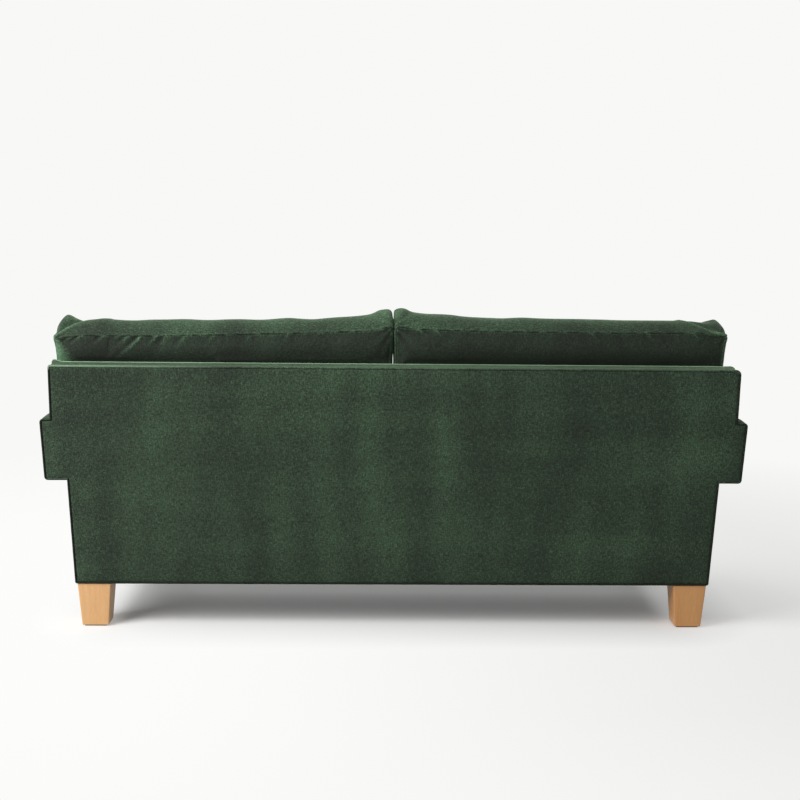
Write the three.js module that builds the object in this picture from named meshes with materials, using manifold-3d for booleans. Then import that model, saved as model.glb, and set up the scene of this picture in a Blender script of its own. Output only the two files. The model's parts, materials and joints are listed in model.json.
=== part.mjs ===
// A two-seat upholstered sofa with square box-top arms, a raked back, loose seat cushions,
// loose back cushions with ears over the arms, and tapered beech legs.
// Millimetres, +Z up, origin on the floor under the middle of the sofa. The front faces -Y.
// It is built as an upholsterer builds it: a timber frame, springs and webbing, padded covers
// pulled over the frame, and loose cushions on top.

import * as THREE from "three";
import { mergeVertices } from "three/addons/utils/BufferGeometryUtils.js";
import Module from "manifold-3d";

const manifold = await Module();
manifold.setup();

// Overall sizes of the body
const overallWidth = 1981;
const overallDepth = 965;
const legHeight = 130;
const armHeight = 622;
const armBoxHeight = 179;
const armBoxOverhang = 67;
const armWidth = 165;
const armBoxTaper = 4;
const sideTaper = 6;
const backHeight = 775;
const backSideInset = 29;
const backTaper = 3;
const backThickness = 100;
const backRake = THREE.MathUtils.degToRad(9.6);
const backTopSlope = THREE.MathUtils.degToRad(1);
const deckHeight = 300;

// Gap kept between pieces that touch, and how far a cut runs past what it cuts
const clearance = 0.3;
const overrun = 5;

// Padding and covers
const sidePadding = 14;
const armTopPadding = 20;
const backPadding = 15;
const topPadding = 14;
const panelPadding = 8;
const pipingRadius = 3;
const pipingSides = 6;
const borderThickness = 12;
const borderRecess = 6;
const tuckWidth = 30;
const tuckThickness = 4;
const deckThickness = 8;
const dustCoverThickness = 2;
const dustCoverInset = 12;
const dustCoverGap = 0.8;
const innerArmReach = 60;

// Rounded corners of the covers
const armEdgeRadius = 9;
const boxLowerRadius = 10;
const backCornerRadius = 7;
const stepRadius = 3;
const hemRadius = 3;
const borderEdgeRadius = 9;
const arcSteps = 4;

// Timber frame
const plywoodThickness = 18;
const railThickness = 28;
const sideRailThickness = 25;
const sideRailHeight = 100;
const topRailThickness = 25;
const topBoardThickness = 15;
const armRailWidth = 26;
const armRailHeight = 26;
const tackRailThickness = 18;
const tackRailHeight = 50;
const seatRailHeight = 105;
const seatRailDrop = 60;
const bottomRailGap = 10;
const postInnerReach = 65;
const uprightWidth = 25;
const centreUprightWidth = 60;
const stretcherWidth = 40;
const stretcherDrop = 70;

// Legs, their bolts and the blocks that they screw into
const legTopWidth = 96;
const legFootWidth = 76;
const legChamfer = 2;
const legSideInset = 6;
const legFrontInset = 12;
const legRearInset = 4;
const glideWidth = 62;
const glideThickness = 3.5;
const blockWidth = 90;
const blockDepth = 80;
const blockHeight = 40;
const boltRadius = 4;
const boltInLeg = 42;
const nutRadius = 7.5;
const nutThickness = 6;
const boltTip = 5;

// Seat springs, their clip rails and the back webbing
const springCount = 8;
const springWidth = 56;
const springLoopPitch = 41;
const springRise = 14;
const wireRadius = 2;
const wireSides = 4;
const bendSteps = 3;
const clipThickness = 2;
const clipShelfDepth = 12;
const clipDrop = 14;
const clipLipRise = 3;
const webbingThickness = 1.8;
const webbingWidth = 50;
const webbingUprights = 9;
const webbingCrossStraps = 2;
const webbingLap = 30;

// Loose cushions
const cushionSideGap = 2.5;
const boxingSteps = 4;
const edgeCrowding = 0.6;
const crownReach = 190;
const seatEdgeThickness = 150;
const seatCrown = 16;
const seatFrontGap = 4;
const seatRearGap = 2;
const seatCornerDraw = 10;
const seatCornerPower = 6;
const seatSidePull = 7;
const seatBoxingBulge = 6;
const seatColumns = 12;
const seatRows = 12;
const backCushionSideInset = 4;
const backCushionTop = 859;
const backCushionFrontRise = 19;
const backCushionEdge = 118;
const backCushionCrown = 60;
const backCushionRearCrown = 14;
const backCushionBulge = 9;
const backCushionTopBulge = 24;
const innerEarRise = 36;
const innerEarPower = 4;
const outerEarRise = 17;
const outerEarPower = 14;
const cornerDraw = 14;
const cornerDrawPower = 8;
const earClearance = 6;
const bodyColumns = 10;
const earColumns = 3;
const lowRows = 4;
const earRows = 4;
const freeRows = 4;

// Lines and levels that follow from the sizes above
const halfWidth = overallWidth / 2;
const frontY = -overallDepth / 2;
const armInner = halfWidth - armWidth;
const bodyHalfTop = halfWidth - armBoxOverhang;
const bodyHalfBottom = bodyHalfTop - sideTaper;
const boxBottom = armHeight - armBoxHeight;
const boxHalfLow = halfWidth - armBoxTaper;
const backHalfLow = halfWidth - backSideInset;
const backHalfTop = backHalfLow - backTaper;
const rearBaseY = overallDepth / 2 - (backHeight - pipingRadius - legHeight) * Math.tan(backRake);

// The y of the plane that lies a given depth in front of the raked rear face, at height z
const rearY = (z, depth = 0) =>
  rearBaseY + (z - legHeight) * Math.tan(backRake) - depth / Math.cos(backRake);
const atDepth = (depth) => (z) => rearY(z, depth);

// Depths of the layers of the back, counted forward from its rear face
const postRear = panelPadding + clearance;
const postFront = postRear + plywoodThickness;
const railRear = postFront + clearance;
const coverRear = backThickness - backPadding;
const webbingFront = coverRear - clearance;
const webbingRear = webbingFront - webbingThickness;
const frameFront = webbingRear - clearance;

// Materials
const fabric = (colour) =>
  new THREE.MeshStandardMaterial({ color: colour, roughness: 0.85, metalness: 0 });
const velvet = fabric(0x2c4a36);
const deckCloth = fabric(0x3a4a3e);
const blackCloth = fabric(0x1b1b1b);
const jute = fabric(0xa98a5c);
const beech = new THREE.MeshStandardMaterial({ color: 0xc9975c, roughness: 0.5, metalness: 0 });
const frameTimber = new THREE.MeshStandardMaterial({ color: 0xd2b48c, roughness: 0.8, metalness: 0 });
const plywood = new THREE.MeshStandardMaterial({ color: 0xc8a878, roughness: 0.75, metalness: 0 });
const springSteel = new THREE.MeshStandardMaterial({ color: 0x6f7276, roughness: 0.4, metalness: 1 });
const nylon = new THREE.MeshStandardMaterial({ color: 0x2a2522, roughness: 0.6, metalness: 0 });

const sofa = new THREE.Group();

// Adds a named mesh to a parent, or a left and right pair mirrored in the middle of the sofa
function add(name, geometry, material, parent = sofa) {
  const mesh = new THREE.Mesh(geometry, material);
  mesh.name = name;
  parent.add(mesh);
  return mesh;
}

function addPair(name, geometry, material) {
  add(name + "_left", geometry, material);
  add(name + "_right", geometry, material).scale.x = -1;
}

// Solids for cutting and joining
function solidOf(geometry) {
  const bare = geometry.index ? geometry.toNonIndexed() : geometry.clone();
  bare.deleteAttribute("normal");
  bare.deleteAttribute("uv");
  const merged = mergeVertices(bare);
  return new manifold.Manifold(
    new manifold.Mesh({
      numProp: 3,
      vertProperties: merged.attributes.position.array,
      triVerts: new Uint32Array(merged.index.array),
    }),
  );
}

function geometryOf(solid) {
  const mesh = solid.getMesh();
  const geometry = new THREE.BufferGeometry();
  geometry.setAttribute("position", new THREE.BufferAttribute(mesh.vertProperties, 3));
  geometry.setIndex(new THREE.BufferAttribute(mesh.triVerts, 1));
  const faceted = geometry.toNonIndexed();
  faceted.computeVertexNormals();
  return faceted;
}

const join = (...geometries) =>
  geometryOf(geometries.map(solidOf).reduce((whole, piece) => whole.add(piece)));
const cut = (geometry, ...tools) =>
  geometryOf(tools.map(solidOf).reduce((whole, tool) => whole.subtract(tool), solidOf(geometry)));

// A closed outline through corners [x, z, radius], each corner rounded by its own radius
function outline(corners) {
  const shape = new THREE.Shape();
  corners.forEach(([x, z, radius = 0], i) => {
    const here = new THREE.Vector2(x, z);
    if (!radius) {
      if (i) shape.lineTo(x, z);
      else shape.moveTo(x, z);
      return;
    }
    const last = new THREE.Vector2(...corners.at(i - 1).slice(0, 2));
    const next = new THREE.Vector2(...corners[(i + 1) % corners.length].slice(0, 2));
    const back = last.sub(here).normalize();
    const on = next.sub(here).normalize();
    const half = Math.acos(back.dot(on)) / 2;
    const centre = back.clone().add(on).normalize().multiplyScalar(radius / Math.sin(half)).add(here);
    const start = back.multiplyScalar(radius / Math.tan(half)).add(here);
    const end = on.multiplyScalar(radius / Math.tan(half)).add(here);
    const turn = new THREE.Vector2().subVectors(start, here).cross(new THREE.Vector2().subVectors(end, here));
    if (i) shape.lineTo(start.x, start.y);
    else shape.moveTo(start.x, start.y);
    shape.absarc(
      centre.x,
      centre.y,
      radius,
      Math.atan2(start.y - centre.y, start.x - centre.x),
      Math.atan2(end.y - centre.y, end.x - centre.x),
      turn > 0,
    );
  });
  return shape;
}

const rectangle = (x0, z0, x1, z1) => outline([[x0, z0], [x1, z0], [x1, z1], [x0, z1]]);

// An outline in x and z, carried from a front surface to a rear surface. Each is a y, or a y for each height.
function depthwise(shape, front, rear) {
  const geometry = new THREE.ExtrudeGeometry(shape, {
    depth: 1,
    bevelEnabled: false,
    curveSegments: arcSteps,
  });
  geometry.rotateX(Math.PI / 2);
  const frontAt = typeof front === "function" ? front : () => front;
  const rearAt = typeof rear === "function" ? rear : () => rear;
  const position = geometry.attributes.position;
  for (let i = 0; i < position.count; i++) {
    const share = -position.getY(i);
    const z = position.getZ(i);
    position.setY(i, rearAt(z) * (1 - share) + frontAt(z) * share);
  }
  return geometry;
}

// An outline in y and z, carried across the sofa from x0 to x1
function crosswise(shape, x0, x1) {
  const geometry = new THREE.ExtrudeGeometry(shape, {
    depth: x1 - x0,
    bevelEnabled: false,
    curveSegments: arcSteps,
  });
  return geometry.rotateX(Math.PI / 2).rotateZ(Math.PI / 2).translate(x0, 0, 0);
}

const board = (x0, x1, z0, z1, front, rear) => depthwise(rectangle(x0, z0, x1, z1), front, rear);

// Lifts what lies above a height so that the top of the back rises gently towards the front
function slopeTop(geometry, above) {
  const position = geometry.attributes.position;
  for (let i = 0; i < position.count; i++) {
    const z = position.getZ(i);
    if (z < above) continue;
    const depth = (rearY(z) - position.getY(i)) * Math.cos(backRake);
    const lift = depth * Math.tan(backTopSlope);
    position.setZ(i, z + lift);
    position.setY(i, position.getY(i) + lift * Math.tan(backRake));
  }
  return geometry;
}

// A round wire or cord along points, with its section square to the way it runs
function tube(points, up, radius, sides, closed) {
  const rings = points.map((point, i) => {
    const before = closed ? points.at(i - 1) : points[Math.max(i - 1, 0)];
    const after = closed ? points[(i + 1) % points.length] : points[Math.min(i + 1, points.length - 1)];
    const along = new THREE.Vector3().subVectors(after, before).normalize();
    const across = new THREE.Vector3().crossVectors(along, up).normalize();
    const over = new THREE.Vector3().crossVectors(across, along);
    return Array.from({ length: sides }, (_, k) => {
      const angle = (2 * Math.PI * k) / sides;
      return point
        .clone()
        .addScaledVector(across, radius * Math.cos(angle))
        .addScaledVector(over, radius * Math.sin(angle));
    });
  });
  const vertices = rings.flat();
  const faces = [];
  const spans = closed ? points.length : points.length - 1;
  for (let i = 0; i < spans; i++) {
    for (let k = 0; k < sides; k++) {
      const a = i * sides + k;
      const b = i * sides + ((k + 1) % sides);
      const c = ((i + 1) % points.length) * sides + k;
      const d = ((i + 1) % points.length) * sides + ((k + 1) % sides);
      faces.push(a, c, b, b, c, d);
    }
  }
  if (!closed) {
    const end = (points.length - 1) * sides;
    for (let k = 1; k < sides - 1; k++) faces.push(0, k, k + 1, end, end + k + 1, end + k);
  }
  return meshFrom(vertices, faces);
}

function meshFrom(vertices, faces) {
  const geometry = new THREE.BufferGeometry().setFromPoints(vertices);
  geometry.setIndex(faces);
  const faceted = geometry.toNonIndexed();
  faceted.computeVertexNormals();
  return faceted;
}

// Piping: a cord sewn along an outline, at a depth that is given for each height
function piping(shape, depthAt) {
  const points = shape.getPoints(arcSteps).map((p) => new THREE.Vector3(p.x, depthAt(p.y), p.y));
  if (points[0].distanceTo(points.at(-1)) < clearance) points.pop();
  return tube(points, new THREE.Vector3(0, 1, 0), pipingRadius, pipingSides, true);
}

// Outline of one arm seen from the front: a wide box on a narrower side, drawn in by an inset
const armOutline = (inset) =>
  outline([
    [armInner + inset, legHeight + inset],
    [bodyHalfBottom - inset, legHeight + inset, hemRadius],
    [bodyHalfTop - inset, boxBottom + inset, stepRadius],
    [boxHalfLow - inset, boxBottom + inset, boxLowerRadius - inset],
    [halfWidth - inset, armHeight - inset, armEdgeRadius - inset],
    [armInner + inset, armHeight - inset, armEdgeRadius - inset],
  ]);

// Outline of the whole sofa seen from behind, drawn in by an inset
function backOutline(inset) {
  const half = [
    [bodyHalfBottom - inset, legHeight + inset, hemRadius],
    [bodyHalfTop - inset, boxBottom + inset, stepRadius],
    [boxHalfLow - inset, boxBottom + inset, boxLowerRadius - inset],
    [halfWidth - inset, armHeight - inset, armEdgeRadius - inset],
    [backHalfLow - inset, armHeight - inset, stepRadius],
    [backHalfTop - inset, backHeight - inset, backCornerRadius - inset],
  ];
  return outline([...half, ...half.map(([x, z, r]) => [-x, z, r]).reverse()]);
}

// Outside back: one flat padded panel that also closes the rear ends of the arms, with piping round it
const outsideBack = depthwise(backOutline(pipingRadius), atDepth(panelPadding), atDepth(0));
const outsideBackPiping = piping(backOutline(pipingRadius), atDepth(pipingRadius + clearance));
add("outside_back_panel", join(outsideBack, outsideBackPiping), velvet);

// Arm front facings, with the same piping
const facing = depthwise(armOutline(pipingRadius), frontY, frontY + panelPadding);
const facingPiping = piping(armOutline(pipingRadius), () => frontY + pipingRadius + clearance);
addPair("arm_front_facing", join(facing, facingPiping), velvet);

// Inside back cover: the padded front of the back with its top and its sides above the arms, open behind
const upperBackFoot = armHeight - armTopPadding + clearance;
const insideBackFoot = deckHeight + clearance;
function insideBackOutline() {
  const half = [
    [armInner - clearance, insideBackFoot],
    [armInner - clearance, upperBackFoot],
    [backHalfLow, upperBackFoot],
    [backHalfTop, backHeight, backCornerRadius],
  ];
  return outline([...half, ...half.map(([x, z, r]) => [-x, z, r]).reverse()]);
}
function insideBackCavity() {
  const half = [
    [backHalfLow - sidePadding, insideBackFoot - overrun],
    [backHalfLow - sidePadding, upperBackFoot],
    [backHalfTop - sidePadding, backHeight - topPadding],
  ];
  return outline([...half, ...half.map(([x, z]) => [-x, z]).reverse()]);
}
const aboveShoulder = backHeight - backThickness;
add(
  "inside_back_cover",
  cut(
    slopeTop(depthwise(insideBackOutline(), atDepth(backThickness), atDepth(postRear)), aboveShoulder),
    slopeTop(depthwise(insideBackCavity(), atDepth(coverRear), atDepth(postRear - overrun)), aboveShoulder),
  ),
  velvet,
);

// Arm covers: padding and velvet pulled over the arm frame, from a tuck at the deck, over the top,
// round the box and down to a tuck under the side rail
const innerTuckZ = deckHeight - tuckThickness;
const armCoverFront = frontY + panelPadding + clearance;
const armCoverOutline = outline([
  [armInner, innerTuckZ],
  [armInner, armHeight, armEdgeRadius],
  [halfWidth, armHeight, armEdgeRadius],
  [boxHalfLow, boxBottom, boxLowerRadius],
  [bodyHalfTop, boxBottom, stepRadius],
  [bodyHalfBottom, legHeight, hemRadius],
  [bodyHalfBottom - tuckWidth, legHeight],
  [bodyHalfBottom - tuckWidth, legHeight + tuckThickness],
  [bodyHalfBottom - sidePadding, legHeight + tuckThickness],
  [bodyHalfTop - sidePadding, boxBottom + sidePadding],
  [boxHalfLow - sidePadding, boxBottom + sidePadding],
  [halfWidth - sidePadding, armHeight - armTopPadding],
  [armInner + sidePadding, armHeight - armTopPadding],
  [armInner + sidePadding, innerTuckZ],
]);
const armCoverBody = depthwise(armCoverOutline, armCoverFront, atDepth(postRear));
const underBack = board(
  armInner - overrun,
  backHalfLow + clearance,
  armHeight - armTopPadding - clearance,
  armHeight + overrun,
  atDepth(backThickness + clearance),
  atDepth(-overrun),
);
const behindInnerWall = board(
  armInner - overrun,
  armInner + sidePadding + clearance,
  innerTuckZ - overrun,
  armHeight + overrun,
  atDepth(innerArmReach),
  atDepth(-overrun),
);
addPair("arm_cover", cut(armCoverBody, underBack, behindInnerWall), velvet);

// Front border: padded cover of the front rail, lapped over its top and tucked under it
const borderFront = frontY + borderRecess;
const borderRear = borderFront + borderThickness;
const frontRailFront = borderRear + clearance;
const frontRailRear = frontRailFront + railThickness;
const borderOutline = outline([
  [frontRailRear, deckHeight - tuckThickness],
  [borderRear, deckHeight - tuckThickness],
  [borderRear, legHeight + tuckThickness],
  [borderFront + tuckWidth, legHeight + tuckThickness],
  [borderFront + tuckWidth, legHeight],
  [borderFront, legHeight, hemRadius],
  [borderFront, deckHeight, borderEdgeRadius],
  [frontRailRear, deckHeight],
]);
const betweenArms = armInner - clearance;
add("front_border_cover", crosswise(borderOutline, -betweenArms, betweenArms), velvet);

// Seat deck: cloth over a felt pad, lying on the springs
const deckUnderside = deckHeight - deckThickness;
add(
  "seat_deck",
  board(
    -betweenArms,
    betweenArms,
    deckUnderside,
    deckHeight,
    frontRailRear + clearance,
    atDepth(frameFront + clearance),
  ),
  deckCloth,
);

// Timber base: front rail, side rails, bottom rail and the stretcher between the two seats
const railBottom = legHeight + tuckThickness + clearance;
const frontRailHalf = armInner + sidePadding;
const frontRailTop = deckHeight - tuckThickness - clearance;
add(
  "front_rail",
  board(-frontRailHalf, frontRailHalf, railBottom, frontRailTop, frontRailFront, frontRailRear),
  frameTimber,
);

const sideRailOuter = bodyHalfBottom - sidePadding - clearance;
const sideRailInner = sideRailOuter - sideRailThickness;
const sideRailTop = railBottom + sideRailHeight;
const armPanelFront = armCoverFront;
const armPanelRear = armPanelFront + plywoodThickness;
const armMemberFront = armPanelRear + clearance;
addPair(
  "side_rail",
  board(sideRailInner, sideRailOuter, railBottom, sideRailTop, armMemberFront, atDepth(railRear)),
  frameTimber,
);

const blockOuterX = sideRailInner - clearance;
const blockInnerX = blockOuterX - blockWidth;
const bottomRailHalf = blockInnerX - clearance;
const seatRailBottom = deckHeight - seatRailDrop;
add(
  "back_bottom_rail",
  board(
    -bottomRailHalf,
    bottomRailHalf,
    legHeight,
    seatRailBottom - bottomRailGap,
    atDepth(railRear + railThickness),
    atDepth(railRear),
  ),
  frameTimber,
);
add(
  "centre_stretcher",
  board(
    -stretcherWidth / 2,
    stretcherWidth / 2,
    railBottom,
    deckHeight - stretcherDrop,
    frontRailRear + clearance,
    atDepth(railRear + railThickness + clearance),
  ),
  frameTimber,
);

// Arm frame: plywood front panel, top board, outer rail under the box and tack rail at the deck
const armCavityTop = armHeight - armTopPadding - clearance;
const armCavityBoxFloor = boxBottom + sidePadding + clearance;
const armCavityOuter = boxHalfLow - sidePadding - clearance;
const armCavityInner = armInner + sidePadding + clearance;
const sideCavityTop = bodyHalfTop - sidePadding - clearance;
const armPanelOutline = outline([
  [armCavityInner, railBottom],
  [sideRailOuter, railBottom],
  [sideCavityTop, armCavityBoxFloor],
  [armCavityOuter, armCavityBoxFloor],
  [armCavityOuter, armCavityTop],
  [armCavityInner, armCavityTop],
]);
addPair("arm_front_panel", depthwise(armPanelOutline, armPanelFront, armPanelRear), plywood);
addPair(
  "arm_top_board",
  board(
    armCavityInner,
    armCavityOuter,
    armCavityTop - topBoardThickness,
    armCavityTop,
    armMemberFront,
    atDepth(railRear),
  ),
  plywood,
);
addPair(
  "arm_box_rail",
  board(
    armCavityOuter - armRailWidth,
    armCavityOuter,
    armCavityBoxFloor,
    armCavityBoxFloor + armRailHeight,
    armMemberFront,
    atDepth(railRear),
  ),
  frameTimber,
);
addPair(
  "arm_tack_rail",
  board(
    armCavityInner,
    armCavityInner + tackRailThickness,
    innerTuckZ,
    innerTuckZ + tackRailHeight,
    armMemberFront,
    atDepth(railRear),
  ),
  frameTimber,
);

// Back frame: plywood posts cut to the sofa's outline, centre upright, outer uprights, top and seat rails
const postInnerX = armInner - postInnerReach;
const topRailTop = backHeight - topPadding - clearance;
const topRailBottom = topRailTop - topRailThickness;
const postTop = topRailBottom - clearance;
const upperCavityLow = backHalfLow - sidePadding - clearance;
const upperCavityTop = backHalfTop - sidePadding - clearance;
const postOutline = outline([
  [postInnerX, railBottom],
  [sideRailOuter, railBottom],
  [sideCavityTop, armCavityBoxFloor],
  [armCavityOuter, armCavityBoxFloor],
  [armCavityOuter, armCavityTop],
  [upperCavityLow, armCavityTop],
  [upperCavityTop, postTop],
  [postInnerX, postTop],
]);
addPair(
  "back_post",
  slopeTop(depthwise(postOutline, atDepth(postFront), atDepth(postRear)), aboveShoulder),
  plywood,
);
add(
  "back_centre_upright",
  slopeTop(
    board(
      -centreUprightWidth / 2,
      centreUprightWidth / 2,
      legHeight,
      postTop,
      atDepth(postFront),
      atDepth(postRear),
    ),
    aboveShoulder,
  ),
  plywood,
);
add(
  "back_top_rail",
  slopeTop(
    board(-upperCavityTop, upperCavityTop, topRailBottom, topRailTop, atDepth(frameFront), atDepth(postRear)),
    aboveShoulder,
  ),
  frameTimber,
);
const seatRailTop = seatRailBottom + seatRailHeight;
add(
  "back_seat_rail",
  board(-betweenArms, betweenArms, seatRailBottom, seatRailTop, atDepth(frameFront), atDepth(railRear)),
  frameTimber,
);
const uprightFoot = armCavityTop + clearance;
const uprightInner = upperCavityTop - uprightWidth;
addPair(
  "back_outer_upright",
  slopeTop(
    board(uprightInner, upperCavityTop, uprightFoot, postTop, atDepth(frameFront), atDepth(railRear)),
    aboveShoulder,
  ),
  frameTimber,
);

// Webbing of the back: straps from the seat rail to the top rail, crossed by level ones
const webbingFoot = seatRailTop - webbingLap;
const webbingHead = topRailTop;
const webbingHalf = armInner - webbingWidth;
const strap = (x0, x1, z0, z1) => board(x0, x1, z0, z1, atDepth(webbingFront), atDepth(webbingRear));
const webbingSpacing = (2 * webbingHalf - webbingWidth) / (webbingUprights - 1);
const straps = [];
for (let i = 0; i < webbingUprights; i++) {
  const left = -webbingHalf + i * webbingSpacing;
  straps.push(strap(left, left + webbingWidth, webbingFoot, webbingHead));
}
for (let i = 1; i <= webbingCrossStraps; i++) {
  const middle = webbingFoot + ((webbingHead - webbingFoot) * i) / (webbingCrossStraps + 1);
  straps.push(strap(-webbingHalf, webbingHalf, middle - webbingWidth / 2, middle + webbingWidth / 2));
}
add("back_webbing", join(...straps), jute);

// Seat springs: sinuous wire, crossing to and fro between the front rail and the seat rail
const springEndZ = deckUnderside - clearance - wireRadius - springRise;
const clipReach = clipThickness + clipShelfDepth / 2 - clipThickness / 2;
const springFrontY = frontRailRear + clearance + clipReach;
const springRearY = rearY(springEndZ, frameFront + clearance) - clipReach;
const springCrossings = Math.round((springRearY - springFrontY) / springLoopPitch) + 1;
const springPitch = (springRearY - springFrontY) / (springCrossings - 1);
const bendRadius = springPitch / 2;
const straightHalf = springWidth / 2 - bendRadius;
function springPath(centreX) {
  const points = [];
  const put = (x, y) => {
    const share = (y - springFrontY) / (springRearY - springFrontY);
    points.push(new THREE.Vector3(centreX + x, y, springEndZ + springRise * Math.sin(Math.PI * share)));
  };
  for (let i = 0; i < springCrossings; i++) {
    const way = i % 2 ? -1 : 1;
    const y = springFrontY + i * springPitch;
    put(-way * straightHalf, y);
    put(way * straightHalf, y);
    if (i === springCrossings - 1) break;
    for (let k = 1; k < bendSteps; k++) {
      const angle = (Math.PI * k) / bendSteps;
      put(way * (straightHalf + bendRadius * Math.sin(angle)), y + bendRadius * (1 - Math.cos(angle)));
    }
  }
  return points;
}
const springSpacing = (2 * betweenArms) / springCount;
const springXs = Array.from({ length: springCount }, (_, i) => -betweenArms + springSpacing * (i + 1 / 2));
springXs.forEach((x, i) => {
  add(
    "seat_spring_" + (i + 1),
    tube(springPath(x), new THREE.Vector3(0, 0, 1), wireRadius, wireSides, false),
    springSteel,
  );
});

// Clip rails: steel angles on the front rail and the seat rail, with a lip that hooks each spring
const shelfTop = springEndZ - wireRadius - clearance;
const shelfBottom = shelfTop - clipThickness;
const clipTop = springEndZ + clipLipRise;
const clipHalf = betweenArms - springSpacing / 4;
const frontClipY = frontRailRear + clearance;
const frontClipEnd = frontClipY + clipShelfDepth;
const frontClip = [
  board(-clipHalf, clipHalf, shelfBottom - clipDrop, clipTop, frontClipY, frontClipY + clipThickness),
  board(-clipHalf, clipHalf, shelfBottom, shelfTop, frontClipY, frontClipEnd),
];
const clipWall = frameFront + clearance;
const rearClipEnd = rearY(springEndZ, clipWall) - clipShelfDepth;
const rearClip = [
  board(
    -clipHalf,
    clipHalf,
    shelfBottom - clipDrop,
    clipTop,
    atDepth(clipWall + clipThickness),
    atDepth(clipWall),
  ),
  board(-clipHalf, clipHalf, shelfBottom, shelfTop, rearClipEnd, atDepth(clipWall)),
];
for (const x of springXs) {
  const x0 = x - straightHalf / 2;
  const x1 = x + straightHalf / 2;
  frontClip.push(board(x0, x1, shelfBottom, clipTop, frontClipEnd - clipThickness, frontClipEnd));
  rearClip.push(board(x0, x1, shelfBottom, clipTop, rearClipEnd, rearClipEnd + clipThickness));
}
add("front_clip_rail", join(...frontClip), springSteel);
add("rear_clip_rail", join(...rearClip), springSteel);

// Legs: tapered beech blocks, each on a nylon glide and held by a bolt through a corner block
const legTop = legHeight - clearance;
const legFoot = glideThickness + clearance;
function taperedLeg() {
  const geometry = new THREE.ExtrudeGeometry(
    outline([
      [-legTopWidth / 2, -legTopWidth / 2, legChamfer],
      [legTopWidth / 2, -legTopWidth / 2, legChamfer],
      [legTopWidth / 2, legTopWidth / 2, legChamfer],
      [-legTopWidth / 2, legTopWidth / 2, legChamfer],
    ]),
    { depth: legTop - legFoot, bevelEnabled: false, curveSegments: arcSteps / 2 },
  );
  geometry.translate(0, 0, legFoot);
  const footShare = legFootWidth / legTopWidth;
  const position = geometry.attributes.position;
  for (let i = 0; i < position.count; i++) {
    if (position.getZ(i) > (legTop + legFoot) / 2) continue;
    position.setX(i, position.getX(i) * footShare);
    position.setY(i, position.getY(i) * footShare);
  }
  return geometry;
}
const uprightRod = (radius, z0, z1, sides) =>
  new THREE.CylinderGeometry(radius, radius, z1 - z0, sides)
    .rotateX(Math.PI / 2)
    .translate(0, 0, (z0 + z1) / 2);
const rodSides = 16;
const nutSides = 6;
const boltFoot = legTop - boltInLeg;
const blockTop = legHeight + blockHeight;
const nutFoot = blockTop + clearance;
const boltHead = nutFoot + nutThickness + boltTip;
const boltHole = uprightRod(boltRadius + clearance, boltFoot - clearance, boltHead + overrun, rodSides);
const boltGeometry = join(
  uprightRod(boltRadius, boltFoot, boltHead, rodSides),
  uprightRod(nutRadius, nutFoot, nutFoot + nutThickness, nutSides),
);
const legGeometry = cut(taperedLeg(), boltHole);
const glideGeometry = new THREE.BoxGeometry(glideWidth, glideWidth, glideThickness);
glideGeometry.translate(0, 0, glideThickness / 2);

const legX = bodyHalfBottom - legSideInset - legTopWidth / 2;
const frontLegY = frontY + legFrontInset + legTopWidth / 2;
const rearLegY = rearBaseY - legRearInset - legTopWidth / 2;
const frontBlockFront = frontRailRear + clearance;
const rearBlockFront = rearY(legHeight, railRear) - blockDepth;
const blockAt = {
  front: board(blockInnerX, blockOuterX, legHeight, blockTop, frontBlockFront, frontBlockFront + blockDepth),
  rear: board(blockInnerX, blockOuterX, legHeight, blockTop, rearBlockFront, atDepth(railRear)),
};
for (const [end, y] of [["front", frontLegY], ["rear", rearLegY]]) {
  const hole = boltHole.clone().translate(legX, y, 0);
  addPair("corner_block_" + end, cut(blockAt[end], hole), beech);
  for (const [side, sign] of [["left", 1], ["right", -1]]) {
    const corner = new THREE.Group();
    corner.position.set(sign * legX, y, 0);
    sofa.add(corner);
    add("leg_" + end + "_" + side, legGeometry, beech, corner);
    add("leg_glide_" + end + "_" + side, glideGeometry, nylon, corner);
    add("leg_bolt_" + end + "_" + side, boltGeometry, springSteel, corner);
  }
}

// Dust cover: thin black cloth across the underside, cut away round the legs
const dustHalf = bodyHalfBottom - dustCoverInset;
const dustTop = legHeight - clearance;
const legNotch = legTopWidth + 2 * dustCoverGap;
const legNotches = [];
for (const sign of [1, -1]) {
  for (const y of [frontLegY, rearLegY]) {
    legNotches.push(
      new THREE.BoxGeometry(legNotch, legNotch, 2 * overrun).translate(sign * legX, y, dustTop),
    );
  }
}
add(
  "dust_cover",
  cut(
    board(
      -dustHalf,
      dustHalf,
      dustTop - dustCoverThickness,
      dustTop,
      frontY + panelPadding + borderRecess,
      rearBaseY - dustCoverInset,
    ),
    ...legNotches,
  ),
  blackCloth,
);

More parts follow.
